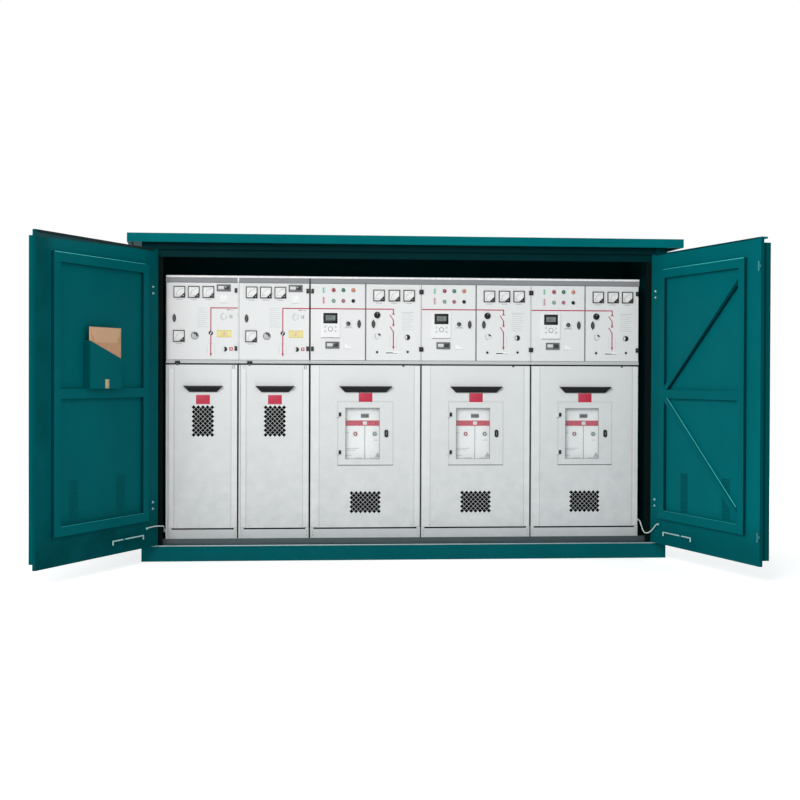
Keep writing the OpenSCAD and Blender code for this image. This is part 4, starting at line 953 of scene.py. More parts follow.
def addDots(mesh, place, u, values):  # sockets of the voltage indicator on both sides of the line
    apart, low, count, step = values
    for side in (-1, 1):
        for k in range(count):
            dot = turned([(0, 0), (2.6, 0), (2.2, 1.2), (0, 1.4)], 10)
            join(mesh, dot, at(place, u + side * apart, low + step * k), 2)


tape = bmesh.new()
level, half, arrowLong = mimic["level"], mimic["tape"] / 2, mimic["arrow"][1]
for k in narrowPanels:
    place, u = onPanel(k), narrowMimic["u"]
    middle, radius, out = narrowMimic["switch"]
    addLine(tape, place, (u - half, level), (panelWidth(k) - narrowMimic["edge"], level))
    addLine(tape, place, (u, level - half), (u, middle + radius))
    addLine(tape, place, (u, middle - radius), (u, narrowMimic["tip"] + arrowLong))
    addArrow(tape, place, u, narrowMimic["tip"])
    cap = turned([(0, 0), (radius, 0), (radius, out - 1), (radius - 1, out), (0, out)])
    join(tape, cap, at(place, u, middle), 1)
    addLine(tape, at(place, 0, 0, out), (u - 6, middle - 11), (u + 6, middle + 11), 3, 4.5)
    addDots(tape, place, u, narrowMimic["dots"])
for k in widePanels:
    place, u, split, gap = onPanel(k), wideMimic["u"], wideMimic["split"], wideMimic["gap"]
    isolator, contact, cross = wideMimic["isolator"], wideMimic["breaker"], wideMimic["cross"]
    addLine(tape, place, (gap, level), (split - gap, level))
    addLine(tape, place, (split + gap, level), (u + half, level))
    for top, low in ((level - half, isolator), (isolator - 38, contact + 6),
                     (contact - 36, wideMimic["tip"] + arrowLong)):
        addLine(tape, place, (u, top), (u, low))
    across, drop = wideMimic["blade"]
    for top in (isolator, contact):  # the open blades
        addLine(tape, place, (u, top - drop - 6), (u - across * 0.62, top - 2), 0, 6)
    addLine(tape, place, (u - 10, isolator + 2), (u + 12, isolator + 2), 0, 5)
    for rise in (-cross, cross):
        addLine(tape, place, (u - cross, contact + 6 - rise), (u + cross, contact + 6 + rise), 0, 4)
    addArrow(tape, place, u, wideMimic["tip"])
    addDots(tape, place, u, wideMimic["dots"])
makePiece("mimicTape", tape, [mimicRed, ink, faintInk, labelWhite])
print("mimic diagrams done")

# Bare labels and plates on the doors and covers: finish, place on the panel and thickness

labels = {
    "narrow": [
        ("yellow", 350, 454, 1402, 1453, 0.6), ("ochre", 352, 452, 1404, 1407, 0.8),
        ("ochre", 352, 452, 1448, 1451, 0.8), ("paleWhite", 374, 421, 1650, 1696, 0.5),
        ("red", 438, 462, 1310, 1334, 0.6), ("paleRed", 445, 455, 1315, 1329, 0.8),
        ("ochre", 384, 386, 1408, 1447, 0.8), ("ochre", 417, 419, 1408, 1447, 0.8),
        ("pink", 396, 407, 1414, 1441, 0.8), ("darkRed", 420, 440, 1592, 1597, 0.4),
        ("darkRed", 440, 474, 1592, 1594, 0.4), ("tick", 441, 446, 1536, 1560, 0.4),
        ("tick", 453, 458, 1536, 1560, 0.4), ("faint", 60, 84, 1388, 1392, 0.4),
        ("faint", 372, 424, 1640, 1643, 0.4), ("faint", 292, 330, 1358, 1360, 0.4)],
    "wide": [
        ("paleGreen", 84, 108, 1715, 1759, 0.6), ("green", 93, 99, 1721, 1735, 0.9),
        ("green", 93, 99, 1739, 1753, 0.9), ("paleRed", 84, 108, 1640, 1692, 0.6),
        ("darkRed", 93, 99, 1646, 1664, 0.9), ("darkRed", 93, 99, 1668, 1686, 0.9),
        ("faint", 77, 209, 1400, 1403, 0.5), ("white", 533, 631, 1290, 1310, 0.5),
        ("ink", 536, 584, 1296, 1303, 0.8), ("ink", 584, 624, 1295, 1298, 0.8),
        ("rule", 646, 735, 1582, 1588, 0.4), ("faint", 240, 304, 1472, 1474, 0.4),
        ("faint", 240, 304, 1326, 1328, 0.4)],
}
ruled = {"narrow": (216, 296, 1476, 1606, 10), "wide": (648, 733, 1462, 1576, 9), "high": 4, "thick": 0.3,
         "short": (0, 14, 4, 22, 8)}
tag = {"corners": [(246, 1364), (246, 1330), (302, 1330)], "thick": 0.6}
plateFinishes = {
    "yellow": labelYellow, "white": labelWhite, "red": labelRed, "ink": ink, "faint": faintInk,
    "paleGreen": printedFilm("paleGreenLabel", (204, 228, 218)),
    "paleRed": printedFilm("paleRedLabel", (234, 212, 214)),
    "pink": printedFilm("pinkLabel", (226, 176, 186)),
    "green": labelGreen, "ochre": printedFilm("ochreRule", (206, 188, 104)),
    "darkRed": printedFilm("darkRedRule", (150, 84, 98)),
    "paleWhite": printedFilm("paleWhiteLabel", (242, 244, 243)),
    "rule": printedFilm("ruledLine", (212, 215, 215)), "tick": printedFilm("greenTick", (112, 146, 130)),
}
plateOrder = list(plateFinishes)
barePlates = bmesh.new()
for k in allPanels:
    for finish, u0, u1, v0, v1, thick in labels[kind(k)]:
        join(barePlates, block(u0, u1, v0, v1, 0, thick), onPanel(k), plateOrder.index(finish))
    u0, u1, v0, v1, count = ruled[kind(k)]
    for row in range(count):
        v = v0 + (v1 - v0) * row / (count - 1)
        end = u1 - ruled["short"][row % len(ruled["short"])]
        line = block(u0, end, v - ruled["high"] / 2, v + ruled["high"] / 2, 0, ruled["thick"])
        join(barePlates, line, onPanel(k), plateOrder.index("rule"))
    if k in widePanels:
        join(barePlates, prism(tag["corners"], 0, tag["thick"]), onPanel(k), plateOrder.index("white"))
makePiece("barePlates", barePlates, list(plateFinishes.values()))

# Red plates under the handles

warning = {"narrow": (96, 66, 20), "wide": (97, 70, 3), "thick": 1.2, "edge": 4, "rule": 1.4}
handleFoot = panelHeight(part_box("cover_handles")[0].z)
redPlates = bmesh.new()
for k in allPanels:
    wide, high, drop = warning[kind(k)]
    thick, edge, rule = warning["thick"], warning["edge"], warning["rule"]
    place = at(onPanel(k), coverMiddle(k), handleFoot - drop)
    join(redPlates, block(-wide / 2, wide / 2, -high, 0, 0, thick, 0.4), place, 0)
    for v in (edge - high, -edge - rule):
        join(redPlates, block(edge - wide / 2, wide / 2 - edge, v, v + rule, thick, thick + 0.2), place, 1)
makePiece("redPlates", redPlates, [labelRed, printedFilm("paleRule", (220, 130, 146))])
print("plates done")

# Breaker fronts behind the windows: band, buttons, counter and bare plates

breaker = {"face": -41, "band": (273, 40), "wide": 385, "badge": (28, 8), "cap": 13, "buttons": (217, 136),
           "counter": (58, 30, 16), "cells": (5, 10.5, 8.8), "tag": (128, 146, 2, 26), "split": 3.8,
           "rules": [(-130, -40, 112), (-136, -64, 100), (-136, -96, 62), (-70, -20, 44), (34, 112, 44),
                     (60, 90, 170), (-136, -112, 222)], "ruleHigh": 4,
           "triangle": [(70, 52), (112, 52), (91, 88)]}
inspectionBoxes = {k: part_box(f"inspection_door_{k + 1}") for k in widePanels}


def addBreakerFront(mesh, place):  # heights are above the foot of the inspection door
    half, cap, (low, high) = breaker["wide"] / 2, breaker["cap"], breaker["band"]
    wide, inset = breaker["badge"]
    join(mesh, block(1 - half, half - 1, low + 1, low + high - 1, 4, 5), place, 0)
    join(mesh, block(-wide / 2, wide / 2, low + inset, low + high - inset, 5, 6, 0.6), place, 3)
    up, apart = breaker["buttons"]
    for side, finish in ((-1, 1), (1, 2)):
        spot = at(place, side * apart / 2, up)
        join(mesh, ring(cap + 1, cap + 5, 0, 4, 1), spot, 3)
        join(mesh, turned([(0, 11), (cap - 1, 11), (cap, 12.5), (cap - 1.5, 14), (0, 14)]), spot, finish)
        join(mesh, disc(cap - 1, 0, 11.5), spot, finish)
        join(mesh, turned([(0, 14), (cap * 0.46, 14), (cap * 0.4, 14.5), (0, 14.6)], 20), spot, 3)
    wide, tall, gap = breaker["counter"]
    foot = low + high + gap
    join(mesh, block(-wide / 2, wide / 2, foot, foot + tall, -4, -1.5, 0.6), place, 4)
    count, step, wide = breaker["cells"]
    for cell in range(count):
        u = (cell - (count - 1) / 2) * step
        join(mesh, block(u - wide / 2, u + wide / 2, foot + 6, foot + tall - 6, -1.5, -0.8), place, 5)
    u0, u1, v0, v1 = breaker["tag"]
    join(mesh, block(u0, u1, foot + v0, foot + v1, 0, 3, 0.8), place, 0)
    for u0, u1, v in breaker["rules"]:
        join(mesh, block(u0, u1, v, v + breaker["ruleHigh"], 0, 0.5), place, 6)
    join(mesh, block(-breaker["split"] / 2, breaker["split"] / 2, 1, low, -3.5, -2.5), place, 7)
    join(mesh, prism(breaker["triangle"], 0, 0.6), place, 6)


fronts = bmesh.new()
for k in widePanels:
    foot = panelHeight(inspectionBoxes[k][0].z)
    addBreakerFront(fronts, at(onPanel(k), panelWidth(k) / 2, foot, breaker["face"]))
bandRed = printedFilm("bandRed", (198, 56, 78))
makePiece("breakerMarks", fronts, [bandRed, redCap, greenCap, white, counterGrey, darkDisplay, faintInk,
                                   splitGrey])
print("breaker fronts done")

# Filter mats behind the vents, with their foam in the holes

filterMat = {"inset": 2, "depth": (-9, -4), "bulge": (-4.4, 0), "clear": 0.3, "swell": (1.2, 0.35)}
ventsLow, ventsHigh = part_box("vent_grilles")
vent = {"pitch": 32, "hole": 27, "rim": 7.5, "narrow": (5, 7), "wide": (7, 5)}


def diamond(u, v, reach):
    return [(u + reach, v), (u, v + reach), (u - reach, v), (u, v - reach)]


def addFilterMat(mesh, k):
    columns, rows = vent[kind(k)]
    wide, high = ((count - 1) * vent["pitch"] + vent["hole"] + 2 * vent["rim"] for count in (columns, rows))
    foot = panelHeight(ventsHigh.z) - high if k in narrowPanels else panelHeight(ventsLow.z)
    place, grow, hole = at(onPanel(k), coverMiddle(k), foot + high / 2), filterMat["inset"], vent["hole"] / 2
    swell, thick = filterMat["swell"]
    join(mesh, slab(0, 0, wide + 2 * grow, high + 2 * grow, *filterMat["depth"], 0.8), place)
    for shift in (0, 1):  # whole rows, then the rows between them
        for column in range(columns - shift):
            for row in range(rows - shift):
                u = (column - (columns - 1 - shift) / 2) * vent["pitch"]
                v = (row - (rows - 1 - shift) / 2) * vent["pitch"]
                join(mesh, prism(diamond(u, v, hole - filterMat["clear"]), *filterMat["bulge"]), place)
                join(mesh, prism(diamond(u, v, hole + swell), 0, thick), place)


mats = bmesh.new()
for k in allPanels:
    addFilterMat(mats, k)
makePiece("filterMats", mats, [foam])
print("filter mats done")

# Screws on the covers and kick plates, and hooks in the rail over the covers

screw = {"radius": 4.2, "height": 2.4, "slot": 1.1, "kick": (16, (20, 44), -3), "cover": (60, 88, 3.2)}
hook = {"narrow": (80, 36, 1218, 1238, 0), "wide": (660, 16, 1202, 1212, 1), "drop": (1182, 1208),
        "ticks": {35: (3, 2), 42: (3, 2), 463: (4, 1), 475: (4, 1)}}


def addScrew(mesh, place, radius):
    head = screw["height"] * radius / screw["radius"]
    dome = [(0, 0), (radius, 0), (radius, head * 0.4), (radius * 0.7, head * 0.9), (0, head)]
    join(mesh, turned(dome, 14), place, 0)
    join(mesh, slab(0, 0, radius * 1.4, screw["slot"], head * 0.8, head * 1.06), place, 1)


fixings, hooks = bmesh.new(), bmesh.new()
for k in allPanels:
    left, right = coverSides(k)
    inset, levels, sunk = screw["kick"]
    for u in (left + inset, right - inset):
        for v in levels:
            addScrew(fixings, at(onPanel(k), u, v, sunk), screw["radius"])
    inset, v, radius = screw["cover"]
    for u in (left + inset, right - inset):
        addScrew(fixings, at(onPanel(k), u, v), radius)
    u, wide, low, high, finish = hook[kind(k)]
    join(hooks, block(u - wide / 2, u + wide / 2, low, high, -8, 2, 1), onPanel(k), finish)
    if k in narrowPanels:
        join(hooks, block(u - wide / 4, u + wide / 4, low - 12, low + 2, 0, 2, 0.6), onPanel(k), 1)
        for u, (wide, finish) in hook["ticks"].items():
            join(hooks, block(u - wide / 2, u + wide / 2, *hook["drop"], -0.4, 1.2, 0.4), onPanel(k), finish)
makePiece("coverScrews", fixings, [zinc, ink])
makePiece("railHooks", hooks, [black, splitGrey, faintInk])
print("screws and hooks done")

# Rubber and filler strips in the gaps round the covers and between the panels; painted shade in the gap under
# the covers, and the cabinets' top lip in painted light

gapStrips = {"deep": -18, "proud": 0.4, "coverFoot": (62.4, 72.6), "footEnd": 24, "doors": (1247, 1784),
             "band": (1785, 1822), "lower": (2, 1222), "split": 3.7, "seam": 4.5, "line": 1.5}
# the last row is the cabinets' top lip in a brighter white than their paint, painted light
gapRows = [(1211.4, 1221.6, 1, -18, -7, 0), (1222.2, 1235.8, 1, -6.5, -5.5, 2), (1236.1, 1245, 1, -18, -7, 2),
           (1818.6, 1831.8, 0.5, -1, 1.6, 8)]  # foot, top, inset, back, front and finish
whiteSeam = {"lower": (-3.4, 3, 6), "doors": 7, "band": 4, "line": 0}
seams = {0: {"lower": (-5.5, 4.5, 0), "doors": 3, "band": 3, "line": 5},
         1: {"lower": (-5.5, 5, 0), "doors": 0, "band": 0, "line": None}, 2: whiteSeam, 3: whiteSeam}


def addGapStrips(mesh, k):
    place, wide, deep, proud = onPanel(k), panelWidth(k), gapStrips["deep"], gapStrips["proud"]
    (left, right), end = coverSides(k), gapStrips["footEnd"]
    # painted shade: a dark strip deep in the gap under the covers
    join(mesh, block(left + end, right - end, *gapStrips["coverFoot"], deep, -4.5), place, 0)
    for u in (left, right - end):
        join(mesh, block(u, u + end, *gapStrips["coverFoot"], deep, -0.6), place, 5)
    for v0, v1, inset, back, front, finish in gapRows:
        join(mesh, block(inset, wide - inset, v0, v1, back, front), place, finish)
    if k in widePanels:
        half = gapStrips["split"]
        join(mesh, block(wide / 2 - half, wide / 2 + half, *gapStrips["doors"], deep, -5), place, 1)
    if k in seams:
        seam, half, line = seams[k], gapStrips["seam"], gapStrips["line"]
        left, right, finish = seam["lower"]
        join(mesh, block(wide + left, wide + right, *gapStrips["lower"], deep, proud), place, finish)
        join(mesh, block(wide - half, wide + half, *gapStrips["doors"], deep, proud), place, seam["doors"])
        join(mesh, block(wide - half, wide + half, *gapStrips["band"], -3, proud), place, seam["band"])
        if seam["line"] is not None:  # the fine line beside the filler or on it
            u = wide + seam["line"]
            join(mesh, block(u - line, u + line, *gapStrips["doors"], -1, proud + 0.3), place, 1)


strips = bmesh.new()
for k in allPanels:
    addGapStrips(strips, k)
makePiece("gapStrips", strips, [rubberAndPaintedShade, splitGrey, railGrey, sealWhite, headerGrey, coverWhite, seamDark,
                                panelWhite, lipPaintedLight])
print("gap strips done")

# Painted light on flat strips beside the pressed folds along both sides of the covers, and painted shade on
# the folds

fold = {"narrow": (52, 45), "wide": (64, 44), "line": 7, "v": (76, 1208), "out": (0, 0.4), "edge": 3}
foldPaintedLight = sprayPaint("foldPaintedLight", (233, 235, 235), shade=0.97, footSpeckle=coverFootSpeckle, **whiteSkin)
foldPaintedShade = sprayPaint("foldPaintedShade", (208, 211, 212), shade=0.96, footSpeckle=coverFootSpeckle, **whiteSkin)
coverFoldLightAndShade = bmesh.new()
for k in allPanels:
    left, line, edge = fold[kind(k)][0], fold["line"], fold["edge"]
    right = panelWidth(k) - fold[kind(k)][1]
    low, high = coverSides(k)
    for u0, u1, finish in ((low + edge, left, 0), (left, left + line, 1), (right, high - edge, 0),
                           (right - line, right, 1)):
        join(coverFoldLightAndShade, block(u0, u1, *fold["v"], *fold["out"]), onPanel(k), finish)
makePiece("coverFoldLightAndShade", coverFoldLightAndShade, [foldPaintedLight, foldPaintedShade])
print("cover folds done")

# Inspection doors: rebate behind the gap, rim round the pane, latch, hinge covers

gasket = {"window": (50, 294, 40, 402), "width": 3, "out": (-5, 3)}
rebate = {"inner": 4, "outer": 12, "out": (-20, -6.8), "gap": (-4.2, -0.8), "front": -0.4, "sill": -3}
smallHinge = {"levels": (600, 866), "u": (3.7, 20.4), "v": (-12, 14), "out": (2, 12.6)}
smallLatch = {"at": (339.5, 221), "size": (26, 53), "out": (2, 11.5), "slot": (3, 26)}


def addRebate(mesh, place, wide, high):
    inner, outer, (near, far) = rebate["inner"], rebate["outer"], rebate["gap"]
    back, front = rebate["out"][0], rebate["front"]
    for u0, u1 in ((-outer, inner), (wide - inner, wide + outer)):
        join(mesh, block(u0, u1, -outer, high + outer, *rebate["out"]), place)
    join(mesh, block(inner, wide - inner, high - inner, high + outer, *rebate["out"]), place)
    for u0, u1 in ((near, far), (wide - far, wide - near)):
        join(mesh, block(u0, u1, far, high - near, back, front), place)
    join(mesh, block(far, wide - far, high - far, high - near, back, front), place)
    # painted shade: a dark strip along the bottom gap of the inspection door
    join(mesh, block(near, wide - near, near, far, back, rebate["sill"]), place, 1)


def addInspectionFittings(mesh, place, foot):
    (left, right, low, high), w = gasket["window"], gasket["width"]
    for u0, u1, v0, v1 in ((left, right, low, low + w), (left, right, high - w, high),
                           (left, left + w, low + w, high - w), (right - w, right, low + w, high - w)):
        join(mesh, block(u0, u1, v0, v1, *gasket["out"], 0.8), place, 0)
    spot, top = at(place, *smallLatch["at"]), smallLatch["out"][1]
    join(mesh, oval(*smallLatch["size"], *smallLatch["out"]), spot, 1)
    join(mesh, slab(0, 0, *smallLatch["slot"], top, top + 0.3), spot, 0)
    for level in smallHinge["levels"]:
        v0, v1 = (level - foot + reach for reach in smallHinge["v"])
        join(mesh, block(*smallHinge["u"], v0, v1, *smallHinge["out"], 1.2), place, 1)


rebates = bmesh.new()
for k in widePanels:
    fittings = bmesh.new()
    foot, top = (panelHeight(corner.z) for corner in inspectionBoxes[k])
    place = at(onPanel(k), panelWidth(k) / 2 - breaker["wide"] / 2, foot)
    addRebate(rebates, place, breaker["wide"], top - foot)
    addInspectionFittings(fittings, place, foot)
    makePiece(f"inspectionFittings{k + 1}", fittings, [gasketGrey, black], f"inspection_{k + 1}")
makePiece("doorRebates", rebates, [coverWhite, rubberAndPaintedShade])
print("inspection doors done")

# Doors: bolts of the hinges and lugs, sleeves on the ends of the leads

bolt = {"radius": 6, "washer": 8.5, "apart": 44, "lug": 10}
doorBolts = {"left": [(88, 1858), (88, 394)], "right": [(77, 1859), (77, 398)]}
doorSides = (("left", leftLeaf, leftLead), ("right", rightLeaf, rightLead))
sleeve = {"long": 16, "radius": 5.4, "bore": 4.15, "edge": 0.8}


def addBolt(mesh, place):
    r, w = bolt["radius"], bolt["washer"]
    washer = [(0, 0), (w, 0), (w, 1.4), (w - 0.8, 2), (0, 2)]
    nut = [(0, 2), (r, 2), (r, 6.2), (r - 1.6, 7.4), (0, 7.6)]
    tip = [(0, 7.4), (r * 0.55, 7.4), (r * 0.5, 11), (0, 11.4)]
    for profile, sides in ((washer, 24), (nut, 6), (tip, 14)):
        join(mesh, turned(profile, sides), place)


def sleeveRing():
    return ring(sleeve["bore"], sleeve["radius"], 0, sleeve["long"], sleeve["edge"], 20)


for side, leaf, values in doorSides:
    bolts = bmesh.new()
    for s, v in doorBolts[side]:
        for step in (-0.5, 0.5):
            addBolt(bolts, at(leaf, s, v + step * bolt["apart"], leafFit["thick"]))
    s, v = values["start"]
    addBolt(bolts, at(leaf, s + bolt["lug"], v, leafFit["thick"] + lead["lug"]))
    makePiece(f"{side}DoorBolts", bolts, [zincAndPaintedHighlight], f"{side}_door")

for side, leaf, values in doorSides:
    crimp = bmesh.new()
    place = at(leaf, *values["start"], leafFit["thick"] + lead["lug"] / 2)
    join(crimp, sleeveRing(), place @ Matrix.Rotation(-math.pi / 2, 4, "Y"))
    makePiece(f"{side}LeadSleeve", crimp, [zinc], f"{side}_door")

endSleeves = bmesh.new()
for side, values in ((1, leftLead), (-1, rightLead)):
    spot = Matrix.Translation((studX(side), studsLow.y, values["end"] * mm))
    join(endSleeves, sleeveRing(), spot @ outward)
makePiece("panelLeadSleeves", endSleeves, [zinc], "kiosk")

# Envelope of papers in the pocket, with a folded flap and a soft front, and the tab on the pocket

envelope = {"s": (678, 1118), "v": (1196, 1581), "out": (54.7, 66.7), "flap": 96, "flapIn": 60, "edge": 1.5,
            "swell": 1.4, "cuts": 10}
tab = {"s": (865, 919), "v": (1194, 1252), "out": (70, 71)}


def addEnvelope(mesh, place):
    (s0, s1), (v0, v1), (o0, o1) = envelope["s"], envelope["v"], envelope["out"]
    body = block(s0, s1, v0, v1, o0, o1 - 2, envelope["edge"], 3)
    long = [edge for edge in body.edges if edge.calc_length() > 40]
    bmesh.ops.subdivide_edges(body, edges=long, cuts=envelope["cuts"], use_grid_fill=True)
    for vert in body.verts:  # the papers inside make the front swell a little
        if vert.co.z > (o0 + o1) / 2:
            across = math.sin(math.pi * (vert.co.x - s0) / (s1 - s0))
            rise = math.sin(math.pi * (vert.co.y - v0) / (v1 - v0))
            vert.co.z += envelope["swell"] * max(0, across * rise)
    join(mesh, body, place, 0)
    inset, tip = envelope["flapIn"], v1 - envelope["flap"]
    flap = [(s0 + 2, v1 - 1), (s1 - 2, v1 - 1), (s1 - inset, tip), (s0 + inset, tip)]
    join(mesh, prism(flap, o1 - 1.4, o1), place, 1)


letter, pocketTab = bmesh.new(), bmesh.new()
addEnvelope(letter, leftLeaf)
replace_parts(makePiece("envelope", letter, [paper, flapPaper], "left_door"), "envelope")
join(pocketTab, block(*tab["s"], *tab["v"], *tab["out"], 0.4), leftLeaf)
makePiece("pocketTab", pocketTab, [printedFilm("beigeTab", (196, 178, 140))], "left_door")

# Stiffening frames: painted shade on the folds that face the free edge and the ground, painted highlights
# along the upper folds, painted shade along the top of the leaves

frameFit = {"out": (20.3, 39.7), "sides": (192, 1553.5), "field": (278, 1467.5), "foot": (296, 356),
            "middle": (1133, 1193), "top": (1964, 2024), "skin": 0.6, "highlight": 2.2, "highlightEnds": (60, 8, 6),
            "brace": 60, "braceEnd": 42, "braceSkin": 0.8}
topPaintedShade = {"s": (70, 1735), "top": 2139.4, "high": {"left": 15.4, "right": 8.4}, "out": (20, 22.6),
             "fade": {"s": (300, 1735), "high": 26, "thick": 0.4}}
louvre = {"s": (529, 1197.5), "rim": 2.2, "wide": 124, "foot": 366, "pitch": 280 / 11, "slots": 11, "high": 9,
          "out": (18.2, 19), "rimOut": (20, 20.3), "slotShadeGap": 0.2, "rimGap": 0.4}
leafEnd = {"s": (1751.5, 1751.9), "v": (118, 2138), "out": (0.3, 19.7)}
flangeBand = {"s": (1751.5, 1752.4), "v": (153, 2103), "gapShade": (-14, -1), "endShade": (-43.6, -14)}
pocketSide = {"s": (1129, 1129.5), "v": (1194, 1490), "out": (21, 69)}


def addFramePaintedShading(mesh, leaf):
    out, skin, highlight = frameFit["out"], frameFit["skin"], frameFit["highlight"]
    (side0, side1), (field0, field1) = frameFit["sides"], frameFit["field"]
    foot, middle, top = frameFit["foot"], frameFit["middle"], frameFit["top"]
    # painted shade on the flank facing the free edge, the hinge stile's inner flank and the undersides of the
    # rails
    join(mesh, block(side1, side1 + skin, foot[0], top[1], *out), leaf, 0)
    for v0, v1 in ((foot[1], middle[0]), (middle[1], top[0])):
        join(mesh, block(field0, field0 + skin, v0, v1, *out), leaf, 0)
    for v in (middle[0], top[0]):
        join(mesh, block(field0, field1, v - skin, v, *out), leaf, 0)
    join(mesh, block(side0, side1, foot[0] - skin, foot[0], *out), leaf, 0)
    # painted highlights along the top rail and the foot rail
    start, end, lowEnd = frameFit["highlightEnds"]
    for s0, s1, v, finish in ((side0 + start, side1 - end, top[1], 1), (field0, field1 - lowEnd, foot[1], 7)):
        join(mesh, block(s0, s1, v - highlight, v + 0.8, out[1] - highlight, out[1] + 1, 0.8), leaf, finish)


def addBracePaintedShading(mesh, leaf):  # painted shade under the upper brace and a painted highlight on the lower brace
    out, highlight, thin = frameFit["out"], frameFit["highlight"], frameFit["braceSkin"]
    (field0, field1), brace = frameFit["field"], frameFit["brace"]
    low, high = frameFit["middle"]
    for start, end, side in (((field0, high), (field1, frameFit["top"][0] - brace), -1),
                             ((field0, low), (field1, frameFit["foot"][1] + brace), 1)):
        run = (Vector(end) - Vector(start)).normalized()
        shift = Vector((-run.y, run.x)) * side * brace / 2
        a = Vector(start) + shift + run * frameFit["braceEnd"]
        b = Vector(end) + shift - run * frameFit["braceEnd"]
        if side > 0:
            join(mesh, strip(a, b, highlight, out[1] - highlight, out[1] + 0.8), leaf, 1)
        else:
            under = Vector((0, -thin / 2))
            join(mesh, strip(a + under, b + under, thin, *out), leaf, 0)


# painted shade along the top of the leaf's inner face; on the left leaf a lighter wedge of it fades out
def addTopPaintedShade(mesh, leaf, hand):
    top, (back, front) = topPaintedShade["top"], topPaintedShade["out"]
    low = top - topPaintedShade["high"][hand]
    join(mesh, block(*topPaintedShade["s"], low, top, back, front, 0.6), leaf, 2)
    if hand == "left":
        fade = topPaintedShade["fade"]
        (s0, s1), drop = fade["s"], low - fade["high"]
        join(mesh, prism([(s0, low), (s1, drop), (s1, low)], back, back + fade["thick"]), leaf, 6)


def addLeafSkins(mesh, leaf, hand):  # painted shade in and between the louvre slots, and on the ends
    rim, gap, rimGap = louvre["rim"], louvre["slotShadeGap"], louvre["rimGap"]
    for s in louvre["s"]:
        end = s + louvre["wide"]
        for k in range(louvre["slots"]):
            v = louvre["foot"] + k * louvre["pitch"]
            join(mesh, block(s + rim, end - rim, v + gap, v + louvre["high"] - gap, *louvre["out"]), leaf, 3)
            if k:
                below = v - louvre["pitch"] + louvre["high"] + rimGap
                join(mesh, block(s, end, below, v - rimGap, *louvre["rimOut"]), leaf, 8)
    # painted shade on the leaf's end face; on the right leaf also over the flange with a dark strip in the
    # gap, on the left leaf on the pocket's side
    join(mesh, block(*leafEnd["s"], *leafEnd["v"], *leafEnd["out"]), leaf, 4)
    if hand == "right":
        join(mesh, block(*flangeBand["s"], *flangeBand["v"], *flangeBand["gapShade"]), leaf, 5)
        join(mesh, block(*flangeBand["s"], *flangeBand["v"], *flangeBand["endShade"]), leaf, 4)
    else:
        join(mesh, block(*pocketSide["s"], *pocketSide["v"], *pocketSide["out"]), leaf, 4)


for hand, leaf, topShadeFinish in (("left", leftLeaf, topPaintedShadeCoat), ("right", rightLeaf, channelPaintedShade)):
    paintedShading = bmesh.new()
    addFramePaintedShading(paintedShading, leaf)
    if hand == "right":
        addBracePaintedShading(paintedShading, leaf)
    addTopPaintedShade(paintedShading, leaf, hand)
    addLeafSkins(paintedShading, leaf, hand)
    makePiece(f"{hand}FramePaintedShading", paintedShading, [channelPaintedShade, tealPaintedHighlight, topShadeFinish, louvreSlotPaintedShade, leafEndPaintedShade, flangeGapPaintedShade,
                                           topPaintedShadeFade, softPaintedHighlight, louvreRimPaintedShade], f"{hand}_door")

# Painted highlight: a light strip on the edge of the threshold over the front beam

beamLow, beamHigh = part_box("base_front_beam")
threshold = {"high": 7, "over": 0.4, "out": 1.2, "short": 3}
thresholdPaintedHighlight = platedMetal("thresholdPaintedHighlight", (168, 182, 186), rough=(0.4, 0.55), stretch=(1, 6, 6),
                             metal=0.3)
edgeMesh = bmesh.new()
edgePlace = Matrix.Translation((0, beamLow.y, beamHigh.z)) @ outward
half = beamHigh.x / mm - threshold["short"]
join(edgeMesh, block(-half, half, -threshold["high"], threshold["over"], 0, threshold["out"], 0.4), edgePlace)
makePiece("thresholdHighlightStrip", edgeMesh, [thresholdPaintedHighlight])
print("door fittings done")

# Stage and light

stage = {"size": 60, "glow": 0.5, "ambient": 0.55, "under": 0.03}
studioLamps = [
    {"name": "frontBank", "place": (-4.6, -12.0, 5.6), "aim": (0.2, -0.5, 1.0), "size": (7, 5), "power": 960},
    {"name": "rearBank", "place": (3.0, 9.0, 5.0), "aim": (0, 0.5, 1.0), "size": (6, 4), "power": 260},
]


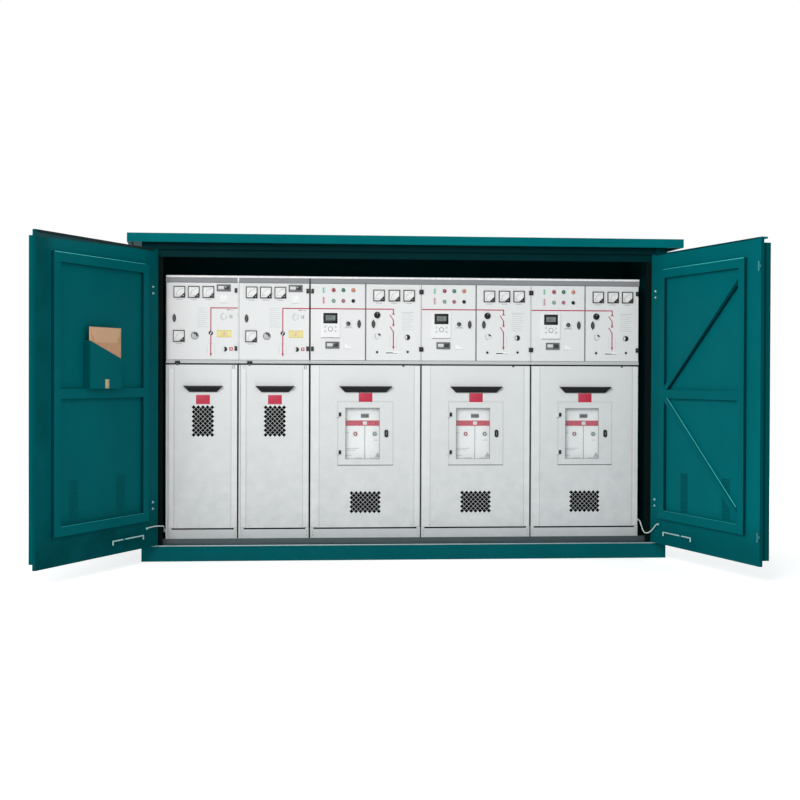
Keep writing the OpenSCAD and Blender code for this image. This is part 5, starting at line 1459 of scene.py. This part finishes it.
def floorPaper():
    finish, tree, shader = newFinish("floorPaper")
    tint = blendColours(tree, noise(tree, 0.7, 2), toLinear(243, 243, 243), toLinear(246, 246, 246))
    fill(tree, shader, {"Base Color": tint, "Roughness": 0.9, "Specular IOR Level": 0})
    rays = tree.nodes.new("ShaderNodeLightPath")
    glow = tree.nodes.new("ShaderNodeEmission")
    # No glow on the ground inside the base, which shows past the ends of the row
    front, rear = beamLow.y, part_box("base_rear_beam")[1].y
    halfWide, halfDeep = beamHigh.x - stage["under"], (rear - front) / 2 - stage["under"]
    inDepth = calculated(tree, "SUBTRACT", axisValue(tree, "Y"), (front + rear) / 2)
    beside = calculated(tree, "GREATER_THAN", calculated(tree, "ABSOLUTE", axisValue(tree, "X")), halfWide)
    beyond = calculated(tree, "GREATER_THAN", calculated(tree, "ABSOLUTE", inDepth), halfDeep)
    outside = calculated(tree, "MAXIMUM", beside, beyond)
    seen = calculated(tree, "MULTIPLY", rays.outputs["Is Camera Ray"], outside)
    fill(tree, glow, {"Strength": calculated(tree, "MULTIPLY", seen, stage["glow"])})
    both = tree.nodes.new("ShaderNodeAddShader")
    tree.links.new(shader.outputs["BSDF"], both.inputs[0])
    tree.links.new(glow.outputs["Emission"], both.inputs[1])
    tree.links.new(both.outputs["Shader"], tree.nodes["Material Output"].inputs["Surface"])
    return finish


def addStage():
    sheet = bmesh.new()
    bmesh.ops.create_grid(sheet, x_segments=1, y_segments=1, size=stage["size"])
    data = bpy.data.meshes.new("floor")
    sheet.to_mesh(data)
    sheet.free()
    data.materials.append(floorPaper())
    floor = bpy.data.objects.new("floor", data)
    bpy.context.scene.collection.objects.link(floor)


def addWorld():
    world = bpy.data.worlds.new("studio")
    world.use_nodes = True
    bpy.context.scene.world = world
    tree = world.node_tree
    rays = tree.nodes.new("ShaderNodeLightPath")
    seen = rays.outputs["Is Camera Ray"]
    for name in ("Is Glossy Ray", "Is Transmission Ray"):
        seen = calculated(tree, "MAXIMUM", seen, rays.outputs[name])
    fill(tree, tree.nodes["Background"], {"Strength": spread(tree, seen, stage["ambient"], 1, 0, 1),
                                          "Color": (1, 1, 1, 1)})


def addLamps():
    for values in studioLamps:
        data = bpy.data.lights.new(values["name"], "AREA")
        data.shape = "RECTANGLE"
        data.size, data.size_y = values["size"]
        data.energy = values["power"]
        made = bpy.data.objects.new(values["name"], data)
        aim = Vector(values["aim"]) - Vector(values["place"])
        turn = aim.to_track_quat("-Z", "Y").to_matrix().to_4x4()
        made.matrix_world = Matrix.Translation(values["place"]) @ turn
        bpy.context.scene.collection.objects.link(made)


addStage()
addWorld()
addLamps()
bpy.context.scene.view_settings.view_transform = "Standard"
print("stage and light done")
